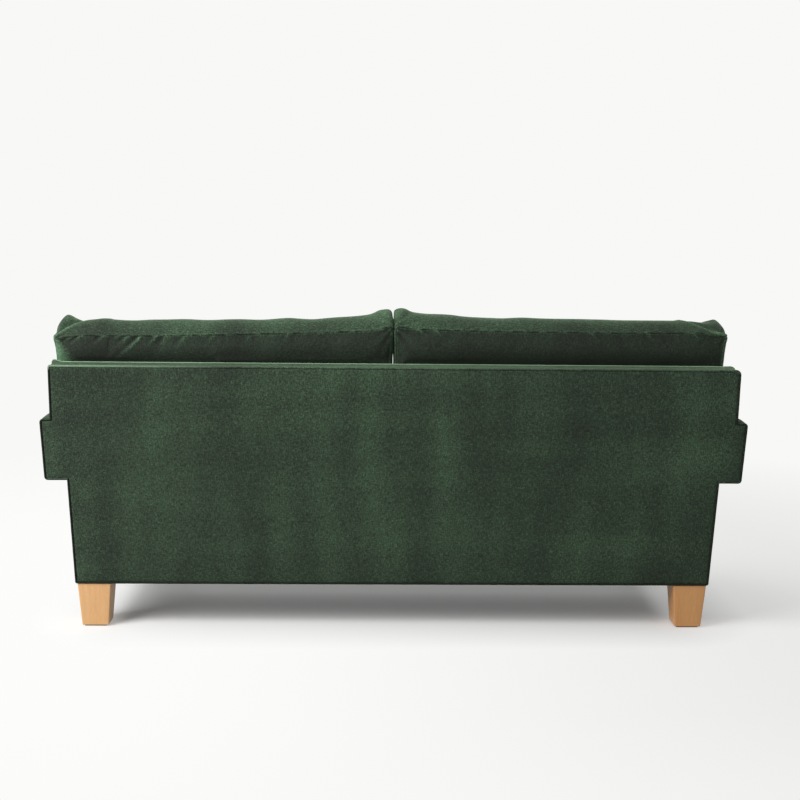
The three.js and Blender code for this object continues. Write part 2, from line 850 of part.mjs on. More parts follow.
// A closed padded form over a grid of columns and rows. has(i, j) tells which cells belong to it, and
// place(i, j, w) gives a point of one panel for w = -1, of the other for w = 1 and of the boxing between.
function padded(columns, rows, has, place) {
  const inside = (i, j) => i >= 0 && j >= 0 && i < columns && j < rows && has(i, j);
  const vertices = [];
  const faces = [];
  const known = new Map();
  const vertex = (i, j, k) => {
    const key = [i, j, k].join();
    if (!known.has(key)) {
      known.set(key, vertices.length);
      vertices.push(place(i, j, (2 * k) / boxingSteps - 1));
    }
    return known.get(key);
  };
  const quad = (a, b, c, d) => faces.push(a, b, c, a, c, d);
  const cell = [[0, 0], [1, 0], [1, 1], [0, 1]];
  const panel = (i, j, k) => cell.map(([across, up]) => vertex(i + across, j + up, k));
  const wall = (i0, j0, i1, j1) => {
    for (let k = 0; k < boxingSteps; k++) {
      quad(vertex(i0, j0, k), vertex(i1, j1, k), vertex(i1, j1, k + 1), vertex(i0, j0, k + 1));
    }
  };
  for (let j = 0; j < rows; j++) {
    for (let i = 0; i < columns; i++) {
      if (!inside(i, j)) continue;
      quad(...panel(i, j, boxingSteps));
      quad(...panel(i, j, 0).reverse());
      if (!inside(i, j - 1)) wall(i, j, i + 1, j);
      if (!inside(i + 1, j)) wall(i + 1, j, i + 1, j + 1);
      if (!inside(i, j + 1)) wall(i + 1, j + 1, i, j + 1);
      if (!inside(i - 1, j)) wall(i, j + 1, i, j);
    }
  }
  return meshFrom(vertices, faces);
}

// Positions from one value to another, closer together near both ends
const spaced = (from, to, steps) =>
  Array.from({ length: steps + 1 }, (_, i) => {
    const share = i / steps;
    const crowded = share - (edgeCrowding * Math.sin(2 * Math.PI * share)) / (2 * Math.PI);
    return from + (to - from) * crowded;
  });

// How full a panel is at a point, from 0 on its outline to 1 well inside
function fullness(corners, x, y) {
  const point = new THREE.Vector3(x, y, 0);
  const distances = corners.map((corner, i) => {
    const next = corners[(i + 1) % corners.length];
    const edge = new THREE.Line3(new THREE.Vector3(...corner, 0), new THREE.Vector3(...next, 0));
    return edge.closestPointToPoint(point, true, new THREE.Vector3()).distanceTo(point);
  });
  return 1 - (1 - Math.min(Math.min(...distances) / crownReach, 1)) ** 2;
}

// Seat cushions: box cushions, crowned on top, with sides that draw in between the corners
const seatFront = borderFront + seatFrontGap;
const seatRear = rearY(deckHeight, backThickness) - seatRearGap;
const seatBottom = deckHeight + clearance;
const seatSide = cushionSideGap + seatBoxingBulge;
const seatXs = spaced(seatSide, armInner - seatSide, seatColumns);
const seatYs = spaced(seatFront + seatBoxingBulge, seatRear - seatBoxingBulge, seatRows);
const seatCorners = [
  [seatXs[0], seatYs[0]],
  [seatXs.at(-1), seatYs[0]],
  [seatXs.at(-1), seatYs.at(-1)],
  [seatXs[0], seatYs.at(-1)],
];
const acrossShare = (values, value) => (2 * (value - values[0])) / (values.at(-1) - values[0]) - 1;
const outwards = (i, last) => (i === last) - (i === 0);
function seatPoint(i, j, w) {
  const p = acrossShare(seatXs, seatXs[i]);
  const q = acrossShare(seatYs, seatYs[j]);
  const bulge = seatBoxingBulge * (1 - w * w);
  const draw = seatCornerDraw * Math.abs(p * q) ** seatCornerPower;
  const x = seatXs[i] - p * seatSidePull * (1 - q * q) - Math.sign(p) * draw;
  const y = seatYs[j] - q * seatSidePull * (1 - p * p) - Math.sign(q) * draw;
  const crown = w === 1 ? seatCrown * fullness(seatCorners, seatXs[i], seatYs[j]) : 0;
  return new THREE.Vector3(
    x + outwards(i, seatColumns) * bulge,
    y + outwards(j, seatRows) * bulge,
    seatBottom + (seatEdgeThickness * (w + 1)) / 2 + crown,
  );
}
addPair("seat_cushion", padded(seatColumns, seatRows, () => true, seatPoint), velvet);

// Back cushions: box cushions that lean on the inside back, with an ear that reaches out over the arm
const cushionFoot = seatBottom + seatEdgeThickness + seatCrown + clearance;
const earFoot = armHeight + earClearance;
const notchX = armInner - cushionSideGap - backCushionBulge;
const cushionOuterX = backHalfLow - backCushionSideInset;
const freeHeight = backHeight + backThickness * Math.tan(backTopSlope) + earClearance;
const bodyXs = spaced(cushionSideGap + backCushionBulge, notchX, bodyColumns);
const earXs = spaced(notchX, cushionOuterX, earColumns);
const cushionXs = [...bodyXs, ...earXs.slice(1)];
const lowZs = spaced(cushionFoot, earFoot, lowRows);
const earZs = spaced(earFoot, freeHeight, earRows);
const freeZs = spaced(freeHeight, backCushionTop, freeRows);
const cushionZs = [...lowZs, ...earZs.slice(1), ...freeZs.slice(1)];
const cushionCorners = [
  [cushionXs[0], cushionFoot],
  [notchX, cushionFoot],
  [notchX, earFoot],
  [cushionOuterX, earFoot],
  [cushionOuterX, backCushionTop],
  [cushionXs[0], backCushionTop],
];
const isCushion = (i, j) => i < bodyColumns || j >= lowRows;
function backCushionPoint(i, j, w) {
  const x = cushionXs[i];
  const z = cushionZs[j];
  const p = acrossShare(cushionXs, x);
  const bulge = backCushionBulge * (1 - w * w);
  const crown = fullness(cushionCorners, x, z);
  const rise = Math.max(z - earFoot, 0) / (backCushionTop - earFoot);
  const innerCorner = p < 0 ? Math.abs(p) ** innerEarPower : 0;
  const outerCorner = p > 0 ? p ** outerEarPower : 0;
  const ears = innerEarRise * innerCorner + outerEarRise * outerCorner;
  const top = j === cushionZs.length - 1 ? backCushionTopBulge * (1 - w * w) : 0;
  const liftedZ = z + (rise * (backCushionFrontRise + ears) * (w + 1)) / 2 + top;
  const isSide = i === 0 || i === cushionXs.length - 1 || (i === bodyColumns && j < lowRows);
  const draw = cornerDraw * (outerCorner - innerCorner) * rise ** cornerDrawPower;
  const sideways = isSide ? bulge * (i === 0 ? -1 : 1) : 0;
  const rear = backThickness + clearance - (z > freeHeight ? backCushionRearCrown * crown : 0);
  const front = backThickness + clearance + backCushionEdge + backCushionCrown * crown;
  const depth = rear + ((front - rear) * (w + 1)) / 2;
  return new THREE.Vector3(x - draw + sideways, rearY(liftedZ, depth), liftedZ);
}
const backCushion = padded(cushionXs.length - 1, cushionZs.length - 1, isCushion, backCushionPoint);
addPair("back_cushion", backCushion, velvet);

export default sofa;
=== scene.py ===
"""A dark green velvet sofa on tapered beech legs, seen from behind in a white studio."""

import json
import math

import bpy
import numpy as np
from mathutils import Matrix, Vector


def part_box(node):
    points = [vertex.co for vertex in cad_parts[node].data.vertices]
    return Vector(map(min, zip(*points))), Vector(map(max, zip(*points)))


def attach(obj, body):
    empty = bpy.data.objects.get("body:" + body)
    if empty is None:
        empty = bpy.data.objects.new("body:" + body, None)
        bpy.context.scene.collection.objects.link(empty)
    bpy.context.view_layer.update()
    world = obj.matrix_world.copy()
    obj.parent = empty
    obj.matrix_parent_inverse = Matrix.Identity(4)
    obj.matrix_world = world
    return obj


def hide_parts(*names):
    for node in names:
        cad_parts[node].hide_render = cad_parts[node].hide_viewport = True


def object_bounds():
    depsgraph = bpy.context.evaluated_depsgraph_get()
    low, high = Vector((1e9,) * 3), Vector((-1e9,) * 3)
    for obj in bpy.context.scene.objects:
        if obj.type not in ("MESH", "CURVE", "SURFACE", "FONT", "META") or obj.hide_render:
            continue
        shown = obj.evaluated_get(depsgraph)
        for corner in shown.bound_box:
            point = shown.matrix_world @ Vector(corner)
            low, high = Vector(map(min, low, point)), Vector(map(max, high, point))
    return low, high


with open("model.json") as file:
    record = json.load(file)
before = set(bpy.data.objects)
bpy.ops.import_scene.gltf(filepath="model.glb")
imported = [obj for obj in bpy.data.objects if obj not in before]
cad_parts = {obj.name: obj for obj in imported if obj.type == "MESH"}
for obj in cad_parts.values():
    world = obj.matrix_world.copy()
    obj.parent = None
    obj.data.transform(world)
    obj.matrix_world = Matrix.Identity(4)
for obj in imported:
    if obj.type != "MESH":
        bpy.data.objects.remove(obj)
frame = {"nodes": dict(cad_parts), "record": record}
cad_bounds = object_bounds()
nodes = frame["nodes"]
scene = bpy.context.scene

# The viewpoint: behind the sofa at eye height, a little past its middle, with a short telephoto lens.
# The camera is slightly turned, tilted down and rolled, as one on a tripod head.
eye_aside = 0.0906
eye_behind = 3.952
eye_height = 1.203
eye = Vector((eye_aside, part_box("outside_back_panel")[0].y + eye_behind, eye_height))
eye_turn = math.radians(1.50)
eye_tilt = math.radians(7.69)
eye_roll = math.radians(0.60)
lens_mm = 63.0
film_mm = 36.0
far_clip = 50.0

level_right = Vector((-math.cos(eye_turn), math.sin(eye_turn), 0))
level_ahead = Vector((-math.sin(eye_turn), -math.cos(eye_turn), 0))
ahead = level_ahead * math.cos(eye_tilt) - Vector((0, 0, math.sin(eye_tilt)))
above = level_right.cross(ahead)
right = level_right * math.cos(eye_roll) + above * math.sin(eye_roll)
up = above * math.cos(eye_roll) - level_right * math.sin(eye_roll)
camera = bpy.data.objects.new("camera", bpy.data.cameras.new("camera"))
camera.data.lens = lens_mm
camera.data.sensor_width = film_mm
camera.data.clip_end = far_clip
camera.matrix_world = Matrix((
    (right.x, up.x, -ahead.x, eye.x),
    (right.y, up.y, -ahead.y, eye.y),
    (right.z, up.z, -ahead.z, eye.z),
    (0, 0, 0, 1),
))
scene.collection.objects.link(camera)
scene.camera = camera


# Colours, shader nodes and materials.
def linear(hex_colour):
    """The linear colour of an sRGB hex value: ((c + 0.055) / 1.055) ** 2.4 a channel, or c / 12.92 near 0."""
    channels = [int(hex_colour[i:i + 2], 16) / 255 for i in (1, 3, 5)]
    return [c / 12.92 if c <= 0.04045 else ((c + 0.055) / 1.055) ** 2.4 for c in channels] + [1]


def add_node(tree, kind, links=(), **settings):
    """Adds a node, sets its properties or sockets by name, and links (socket, output) pairs into it."""
    node = tree.nodes.new(kind)
    for name, value in settings.items():
        if hasattr(node, name):
            setattr(node, name, value)
        else:
            node.inputs[name.replace("_", " ")].default_value = value
    for socket, output in links:
        tree.links.new(output, node.inputs[socket])
    return node


def new_material(name):
    """An empty node material with a Principled shader on its output, as (material, tree, shader)."""
    material = bpy.data.materials.new(name)
    material.use_nodes = True
    tree = material.node_tree
    tree.nodes.clear()
    shader = add_node(tree, "ShaderNodeBsdfPrincipled")
    add_node(tree, "ShaderNodeOutputMaterial", [("Surface", shader.outputs["BSDF"])])
    return material, tree, shader


def feed(tree, socket, term):
    """Links a node's output into a socket, or sets the socket to a number."""
    if isinstance(term, bpy.types.NodeSocket):
        tree.links.new(term, socket)
    else:
        socket.default_value = term


def maths(tree, operation, *terms):
    """The output of a maths operation on its terms, each a node's output or a number."""
    node = add_node(tree, "ShaderNodeMath", operation=operation)
    for socket, term in zip(node.inputs, terms):
        feed(tree, socket, term)
    return node.outputs[0]


def mapped(tree, value, start, end, smooth=False):
    """A value's place from one start to the other, from 0 to 1 and no further, carried over to the two ends:
    evenly, or eased in and out if smooth."""
    node = add_node(tree, "ShaderNodeMapRange", [("Value", value)],
                    interpolation_type="SMOOTHSTEP" if smooth else "LINEAR")
    for name, term in zip(("From Min", "From Max", "To Min", "To Max"), (*start, *end)):
        feed(tree, node.inputs[name], term)
    return node.outputs[0]


def summed_noise(tree, where, layers):
    """A pattern of 0.5 + the sum of share * (noise - 0.5). Each layer is (size across, size up, detail,
    share), with its noise about as coarse as the sizes, in metres."""
    total = 0.5 - sum(layer[3] for layer in layers) / 2
    for size_across, size_up, detail, share in layers:
        scale = (1 / size_across, 1 / size_across, 1 / size_up)
        place = add_node(tree, "ShaderNodeMapping", [("Vector", where)], Scale=scale)
        field = add_node(tree, "ShaderNodeTexNoise", [("Vector", place.outputs[0])], Scale=1.0, Detail=detail)
        total = maths(tree, "MULTIPLY_ADD", field.outputs["Fac"], share, total)
    return total


def two_toned(name, dark, light, layers, raised, roughness, turn=(0, 0, 0)):
    """A material and its shader: layers of noise run its colour from dark to light and raise its surface,
    by a strength and a height in metres. A turn lays the pattern along another axis."""
    material, tree, shader = new_material(name)
    where = add_node(tree, "ShaderNodeTexCoord").outputs["Object"]
    turned = add_node(tree, "ShaderNodeMapping", [("Vector", where)], Rotation=turn)
    pattern = summed_noise(tree, turned.outputs[0], layers)
    tone = add_node(tree, "ShaderNodeMix", [("Factor", pattern)], data_type="RGBA",
                    A=linear(dark), B=linear(light))
    tree.links.new(tone.outputs["Result"], shader.inputs["Base Color"])
    strength, height = raised
    bump = add_node(tree, "ShaderNodeBump", [("Height", pattern)], Strength=strength, Distance=height)
    tree.links.new(bump.outputs[0], shader.inputs["Normal"])
    shader.inputs["Roughness"].default_value = roughness
    return material, shader


# The studio: a white paper floor and a white room, a large soft lamp beyond the sofa's left end, one over
# its front, and a low one in front that lights only the floor, and reaches in under the sofa.
paper_white = "#f7f7f6"
paper_bounce = "#c4c4c2"
wall_white = "#f8f8f7"
floor_radius = 30.0
floor_sides = 48
room_strength = 0.44
# The pool of shading round the sofa's foot: how far inside the sofa's box it starts, where its dark edge
# and its reach end, and how much of the wall's white each stretch adds.
pool_inset = 0.215
pool_edge = 0.09
pool_reach = 0.30
pool_shares = [0.03, 0.31, 0.66]
# Where the sofa's long shadow keeps its shading: each edge fades in along an axis between two places.
shadow_share = 0.45
shadow_edges = [("X", (-0.75, -0.95)), ("X", (-2.0, -1.1)), ("Y", (0.40, 0.24)), ("Y", (-1.0, 0.1))]
# A painted pool of light in the white glow: how bright it is on the right and on the left, between two
# places, and where it evens out.
glow_places = (-1.6, 0.8)
glow_levels = (0.86, 1.04)
even_reach = (0.8, 2.5)


def seen_directly(tree):
    """1 for a ray that comes straight from the camera or by way of a mirror or clear material, else 0."""
    path = add_node(tree, "ShaderNodeLightPath").outputs
    seen = maths(tree, "MAXIMUM", path["Is Camera Ray"], path["Is Glossy Ray"])
    return maths(tree, "MAXIMUM", seen, path["Is Transmission Ray"])


around = np.linspace(0, 2 * np.pi, floor_sides, endpoint=False)
paper_ring = np.stack([floor_radius * np.cos(around), floor_radius * np.sin(around), 0 * around], 1)
paper_mesh = bpy.data.meshes.new("studio_paper")
paper_mesh.from_pydata(paper_ring.tolist(), [], [list(range(len(around)))])
paper = bpy.data.objects.new("studio_paper", paper_mesh)
scene.collection.objects.link(paper)

# Near the sofa the paper shows its own shading and the sofa's shadow; further out it fades to the wall's
# white, as on an overexposed studio floor, so that no horizon shows.
paper_material, tree, shader = new_material("matt_white_paper")
seen = seen_directly(tree)
# The low lamp's light on the paper doesn't brighten the sofa: light that the paper throws back is dimmer.
paper_tone = add_node(tree, "ShaderNodeMix", [("Factor", seen)], data_type="RGBA",
                      A=linear(paper_bounce), B=linear(paper_white))
tree.links.new(paper_tone.outputs["Result"], shader.inputs["Base Color"])
shader.inputs["Roughness"].default_value = 0.9
shader.inputs["Specular IOR Level"].default_value = 0.0
where = add_node(tree, "ShaderNodeTexCoord").outputs["Object"]
half = [(cad_bounds[1][axis] - cad_bounds[0][axis]) / 2 - pool_inset for axis in (0, 1)]
folded = add_node(tree, "ShaderNodeVectorMath", [(0, where)], operation="ABSOLUTE")
beyond = add_node(tree, "ShaderNodeVectorMath", [(0, folded.outputs[0])], operation="SUBTRACT")
beyond.inputs[1].default_value = (half[0], half[1], 0)
beyond = add_node(tree, "ShaderNodeVectorMath", [(0, beyond.outputs[0])], operation="MAXIMUM")
distance = add_node(tree, "ShaderNodeVectorMath", [(0, beyond.outputs[0])], operation="LENGTH")
distance = distance.outputs["Value"]
near_shares = (pool_shares[0], pool_shares[0] + pool_shares[1])
near = mapped(tree, distance, (0, pool_edge), near_shares, smooth=True)
far = mapped(tree, distance, (pool_edge, pool_reach), (0, pool_shares[2]))
fade = maths(tree, "ADD", near, far)
# The shading stays on the right of the picture too, where the sofa's shadow falls away from the window lamp.
place = add_node(tree, "ShaderNodeSeparateXYZ", [("Vector", where)]).outputs
shadow = shadow_share
for axis, edge in shadow_edges:
    shadow = maths(tree, "MULTIPLY", mapped(tree, place[axis], edge, (0, 1), smooth=True), shadow)
fade = maths(tree, "MULTIPLY", fade, maths(tree, "SUBTRACT", 1, shadow))
fade = maths(tree, "MULTIPLY", fade, seen)
# Painted light: the floor's glow is brightest towards the window lamp, on the left of the picture.
bright = mapped(tree, place["X"], glow_places, glow_levels, smooth=True)
level = mapped(tree, distance, even_reach, (bright, 1))
glow = add_node(tree, "ShaderNodeEmission", [("Strength", level)], Color=linear(wall_white))
mixed = add_node(tree, "ShaderNodeMixShader", [(0, fade), (1, shader.outputs[0]), (2, glow.outputs[0])])
tree.links.new(mixed.outputs[0], tree.nodes["Material Output"].inputs["Surface"])
paper.data.materials.append(paper_material)

world = bpy.data.worlds.new("white_room")
world.use_nodes = True
tree = world.node_tree
background = tree.nodes["Background"]
background.inputs["Color"].default_value = linear(wall_white)
feed(tree, background.inputs["Strength"], mapped(tree, seen_directly(tree), (0, 1), (room_strength, 1)))
scene.world = world


def add_lamp(name, place, target, width, height, watts):
    """A rectangular soft lamp at a place, facing a target point, that lights things but isn't seen itself.
    Returns the object that holds it."""
    lamp = bpy.data.lights.new(name, "AREA")
    lamp.shape = "RECTANGLE"
    lamp.size = width
    lamp.size_y = height
    lamp.energy = watts
    holder = bpy.data.objects.new(name, lamp)
    holder.location = place
    holder.visible_camera = False
    holder.rotation_euler = (Vector(target) - Vector(place)).to_track_quat("-Z", "Y").to_euler()
    scene.collection.objects.link(holder)
    return holder


add_lamp("window_lamp", place=(3.0, 2.4, 2.4), target=(0.3, 0, 0.4), width=2.2, height=2.2, watts=168)
add_lamp("room_lamp", place=(0.4, -2.0, 3.4), target=(0, 0, 0.4), width=3.0, height=2.0, watts=24)
paper_only = bpy.data.collections.new("paper_only")
paper_only.objects.link(paper)
low_lamp = add_lamp("low_lamp", place=(0.3, -3.2, 0.70), target=(0.3, 0.6, 0.20), width=4.0, height=0.40,
                    watts=135)
low_lamp.light_linking.receiver_collection = paper_only
scene.view_settings.view_transform = "Standard"


# The velvet: cotton, woven with a cut pile about 1.5 mm high and dyed bottle green. Square on it is nearly
# black green, and the pile's tips catch light at grazing angles. The nap was stroked flat in places, which
# leaves lighter and darker patches. A seam gets painted shade as a dark line, with a painted highlight on
# the lip of pile on each side.
velvet_dark = "#21241f"
velvet_light = "#415642"
bias_light = "#485648"
velvet_tip = "#9fbf95"
nap_height = 0.0007
# Tufts of pile, in truth under 1 mm apart, drawn as coarse as the picture can show them.
tuft_layers = [
    (0.0026, 0.009, 1.0, 1.5),
    (0.009, 0.0026, 1.0, 1.1),
    (0.0036, 0.0036, 1.0, 1.1),
]
# Where the nap was stroked: upright bands and level ones about a hand wide, and broad uneven patches.
stroke_layers = [
    (0.08, 0.50, 0.0, 0.5),
    (0.50, 0.08, 0.0, 0.4),
    (0.30, 1.5, 1.0, 0.8),
]
nap_scale = 0.74
nap_offset = 0.31
# The range of the painted light and shade attribute, from the most painted shade to the most painted light.
painted_shade_limit = -0.5
painted_light_limit = 5.5
most_speckled = 1.4
# Between which values of the seam attribute the lips get a painted highlight and the stitched line painted
# shade, and how much.
lip_band = (0.05, 0.5)
lip_highlight = 0.20
crease_band = (0.60, 0.95)
crease_shade = 0.2


def add_velvet(name, light, sheen, gloss):
    """Velvet with a given light colour, sheen and gloss. Its gain comes from an attribute of painted light
    and
    shade: 0 at the most painted shade, 1 at rest and 2 more for each 1 of painted light. The nap times the
    gain mixes the dark colour with the light one; beyond most_speckled the gain brightens it evenly, by half
    as much, as a painted highlight. The seam attribute paints a highlight on the lip of pile beside a seam
    and painted shade on the stitched line itself."""
    velvet, tree, shader = new_material(name)
    where = add_node(tree, "ShaderNodeTexCoord").outputs["Object"]
    nap = summed_noise(tree, where, tuft_layers + stroke_layers)
    # Squared, so that to the eye its specks are as strong above the mean colour as below it.
    nap = maths(tree, "MULTIPLY_ADD", nap, nap_scale, nap_offset)
    nap = maths(tree, "MULTIPLY", nap, nap)
    seam = add_node(tree, "ShaderNodeAttribute", attribute_name="seam").outputs["Fac"]
    # Painted light and shade, carried by an attribute on each piece.
    opened = add_node(tree, "ShaderNodeAttribute", attribute_name="opened").outputs["Fac"]
    gain = maths(tree, "ADD", opened, mapped(tree, seam, lip_band, (0, lip_highlight), smooth=True))
    gain = mapped(tree, gain, (painted_shade_limit, painted_light_limit), (0, 2 * (painted_light_limit - painted_shade_limit)))
    rough = maths(tree, "MINIMUM", gain, most_speckled)
    even = maths(tree, "MULTIPLY", maths(tree, "SUBTRACT", gain, rough), 0.5)
    lit = maths(tree, "MULTIPLY_ADD", nap, rough, even)
    tone = add_node(tree, "ShaderNodeMix", [("Factor", lit)], data_type="RGBA",
                    clamp_factor=False, A=linear(velvet_dark), B=linear(light))
    crease = mapped(tree, seam, crease_band, (1, crease_shade))
    links = [("Vector", tone.outputs["Result"]), ("Scale", crease)]
    shade = add_node(tree, "ShaderNodeVectorMath", links, operation="SCALE")
    tree.links.new(shade.outputs[0], shader.inputs["Base Color"])
    pile = summed_noise(tree, where, tuft_layers)
    bump = add_node(tree, "ShaderNodeBump", [("Height", pile)], Strength=0.7, Distance=nap_height)
    tree.links.new(bump.outputs[0], shader.inputs["Normal"])
    shader.inputs["Roughness"].default_value = 0.8
    shader.inputs["Specular IOR Level"].default_value = gloss
    shader.inputs["Sheen Weight"].default_value = sheen
    shader.inputs["Sheen Roughness"].default_value = 0.3
    shader.inputs["Sheen Tint"].default_value = linear(velvet_tip)
    return velvet


velvet = add_velvet("cotton_velvet", velvet_light, sheen=0.5, gloss=0.15)
# The welts' bias strips: the same velvet, pulled so tight that its pile lies flat and hardly shines.
strip_velvet = add_velvet("cotton_velvet_on_bias", bias_light, sheen=0.08, gloss=0.02)


# The outside back: one velvet panel over a thin pad, stretched across the whole rear of the frame, from the
# hem to the top and out over the ends of both arms. It is drawn tight at the welt that frames it, so it
# stands out a little in the middle and ripples faintly near the top corners.
back_low, back_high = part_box("outside_back_panel")
arm_low, arm_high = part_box("arm_cover_left")
# The outline of the rear: the arms' boxes overhang the body, and every part leans in a little.
box_height = 0.179
box_lean = 0.004
overhang = 0.067
body_lean = 0.006
back_step = 0.029
back_lean = 0.003
leg_top = back_low.z
back_top = back_high.z
arm_top = arm_high.z
arm_inner = arm_low.x
half_width = back_high.x
box_floor = arm_top - box_height
box_half = half_width - box_lean
body_half = half_width - overhang
foot_half = body_half - body_lean
back_half = half_width - back_step
top_half = back_half - back_lean
hem_radius = 0.003
step_radius = 0.003
box_radius = 0.010
arm_radius = 0.011
top_radii = {1: 0.007, -1: 0.015}
welt_radius = 0.003
# The thin pads behind the panels, and how the velvet on them swells, ripples and is stitched.
panel_inset = 0.0052
panel_edge = 0.0044
panel_lip = 0.0028
panel_swell = 0.0035
panel_thickness = 0.008
lip_reach = 0.005
swell_reach = 0.06
ripple_height = 0.0005
ripple_length = 0.045
wave_height = 0.0012
wave_length = 0.30
ripple_reach = 0.03
boxing_shares = [0.3, 0.7]
boxing_bulge = 0.001
# How far a seam's painted shade and lip highlight reach, and how much of them shows on the panels.
stitch_half = 0.0015
stitch_reach = 0.004
panel_stitch_share = 0.70
grid_step = 0.010

rake = math.tan(math.radians(9.6))
rake_cos = math.cos(math.atan(rake))


def back_y(z, depth):
    """y of the raked plane that lies a depth in front of the sofa's rear face, at each height z."""
    return back_high.y + (z - back_top + welt_radius) * rake - depth / rake_cos


def half_outline(inset, side=1):
    """Corners (x, z, radius) of one half of the sofa's outline from the hem up, drawn in by an inset. Its top
    corner is rounder on the right, side -1."""
    return [
        (foot_half - inset, leg_top + inset, hem_radius),
        (body_half - inset, box_floor + inset, step_radius),
        (box_half - inset, box_floor + inset, box_radius - inset),
        (half_width - inset, arm_top - inset, arm_radius - inset),
        (back_half - inset, arm_top - inset, step_radius),
        (top_half - inset, back_top - inset, top_radii[side] - inset),
    ]


def both_halves(left, right):
    """A closed outline of a left half and the mirror image of a right one."""
    return left + [(-x, z, radius) for x, z, radius in reversed(right)]


seam_steps = np.array([0.002, 0.005, 0.009])


def lines(stops, step, fine=seam_steps):
    """Grid lines through all stops: about a step apart, and closer together on both sides of each stop, at
    the fine steps from it."""
    runs = []
    for a, b in zip(stops, stops[1:]):
        spans = max(1, round((b - a - 2 * fine[-1]) / step))
        even = np.linspace(a + fine[-1], b - fine[-1], spans + 1)
        runs += [[a], a + fine[:-1], even, (b - fine[:-1])[::-1]]
    return np.concatenate([*runs, [stops[-1]]])


def middles(values):
    """The middle of each cell between grid lines."""
    return (values[1:] + values[:-1]) / 2


def round_corner(u, v, at, towards, radius):
    """Moves the points in a corner's square onto a round corner: with a and b from 0 at the arc's centre to
    1 at the outline, a' = a * sqrt(1 - b * b / 2) and b' = b * sqrt(1 - a * a / 2)."""
    radius_u, radius_v = radius if isinstance(radius, tuple) else (radius, radius)
    a = (u - (at[0] - towards[0] * radius_u)) * towards[0] / radius_u
    b = (v - (at[1] - towards[1] * radius_v)) * towards[1] / radius_v
    # The points on the outline itself are at 1, give or take the rounding of their places.
    inside = (a > 0) & (b > 0) & (a < 1.001) & (b < 1.001)
    shift_a = a * (np.sqrt(np.maximum(1 - b * b / 2, 0)) - 1) * radius_u * towards[0]
    shift_b = b * (np.sqrt(np.maximum(1 - a * a / 2, 0)) - 1) * radius_v * towards[1]
    return u + np.where(inside, shift_a, 0), v + np.where(inside, shift_b, 0)


def outline_distance(u, v, corners):
    """Distance from each point to the nearest side of the closed outline through the corners."""
    nearest = np.full(u.shape, np.inf)
    for (u0, v0, *_), (u1, v1, *_) in zip(corners, corners[1:] + corners[:1]):
        run_u, run_v = u1 - u0, v1 - v0
        share = np.clip(((u - u0) * run_u + (v - v0) * run_v) / (run_u ** 2 + run_v ** 2), 0, 1)
        nearest = np.minimum(nearest, np.hypot(u - u0 - share * run_u, v - v0 - share * run_v))
    return nearest


def fullness(distance, reach):
    """0 on an edge, 1 from the reach inwards: 1 - (1 - distance / reach) squared."""
    return 1 - (1 - np.clip(distance / reach, 0, 1)) ** 2


def seam_nearness(distance, reach=0.006):
    """1 on a seam, falling evenly to 0 at the reach on both sides."""
    return np.clip(1 - distance / reach, 0, 1)


lattice_size = 64


def drift(u, v, length, seed):
    """A smooth random field between -1 and 1: random values on a square lattice of the given length, eased
    from one to the next by 3 * s * s - 2 * s ** 3 both ways."""
    lattice = np.random.default_rng(seed).uniform(-1, 1, (lattice_size, lattice_size))
    a, b = np.broadcast_arrays(u / length, v / length)
    i, j = np.floor(a).astype(int), np.floor(b).astype(int)
    s, t = a - i, b - j
    s, t = s * s * (3 - 2 * s), t * t * (3 - 2 * t)
    left, right = i % lattice_size, (i + 1) % lattice_size
    below, above = j % lattice_size, (j + 1) % lattice_size
    low = lattice[below, left] * (1 - s) + lattice[below, right] * s
    high = lattice[above, left] * (1 - s) + lattice[above, right] * s
    return low * (1 - t) + high * t


def case_faces(mask, ring_count):
    """Faces of a closed case over a grid. mask tells which cells its two panels have, and its boxing is a
    stack of rings between the panels' outlines. Points are numbered low panel, high panel, then rings.
    Returns the quads, the outline's grid numbers, and each outline edge as a pair of places in them."""
    rows, columns = np.nonzero(mask)
    width = mask.shape[1] + 1
    a = rows * width + columns
    b, c, d = a + 1, a + width + 1, a + width
    framed = np.pad(mask, 1)
    edges = np.concatenate([
        np.stack([a, b], 1)[~framed[rows, columns + 1]],
        np.stack([b, c], 1)[~framed[rows + 1, columns + 2]],
        np.stack([c, d], 1)[~framed[rows + 2, columns + 1]],
        np.stack([d, a], 1)[~framed[rows + 1, columns]],
    ])
    outline, ends = np.unique(edges, return_inverse=True)
    ends = ends.reshape(-1, 2)
    panel = (mask.shape[0] + 1) * width
    rings = [2 * panel + k * len(outline) + np.arange(len(outline)) for k in range(ring_count)]
    loops = [outline, *rings, panel + outline]
    boxing = [np.stack([low[ends[:, 0]], low[ends[:, 1]], high[ends[:, 1]], high[ends[:, 0]]], 1)
              for low, high in zip(loops, loops[1:])]
    low_panel = np.stack([a, d, c, b], 1)
    high_panel = panel + np.stack([a, b, c, d], 1)
    return np.concatenate([low_panel, high_panel, *boxing]), outline, ends


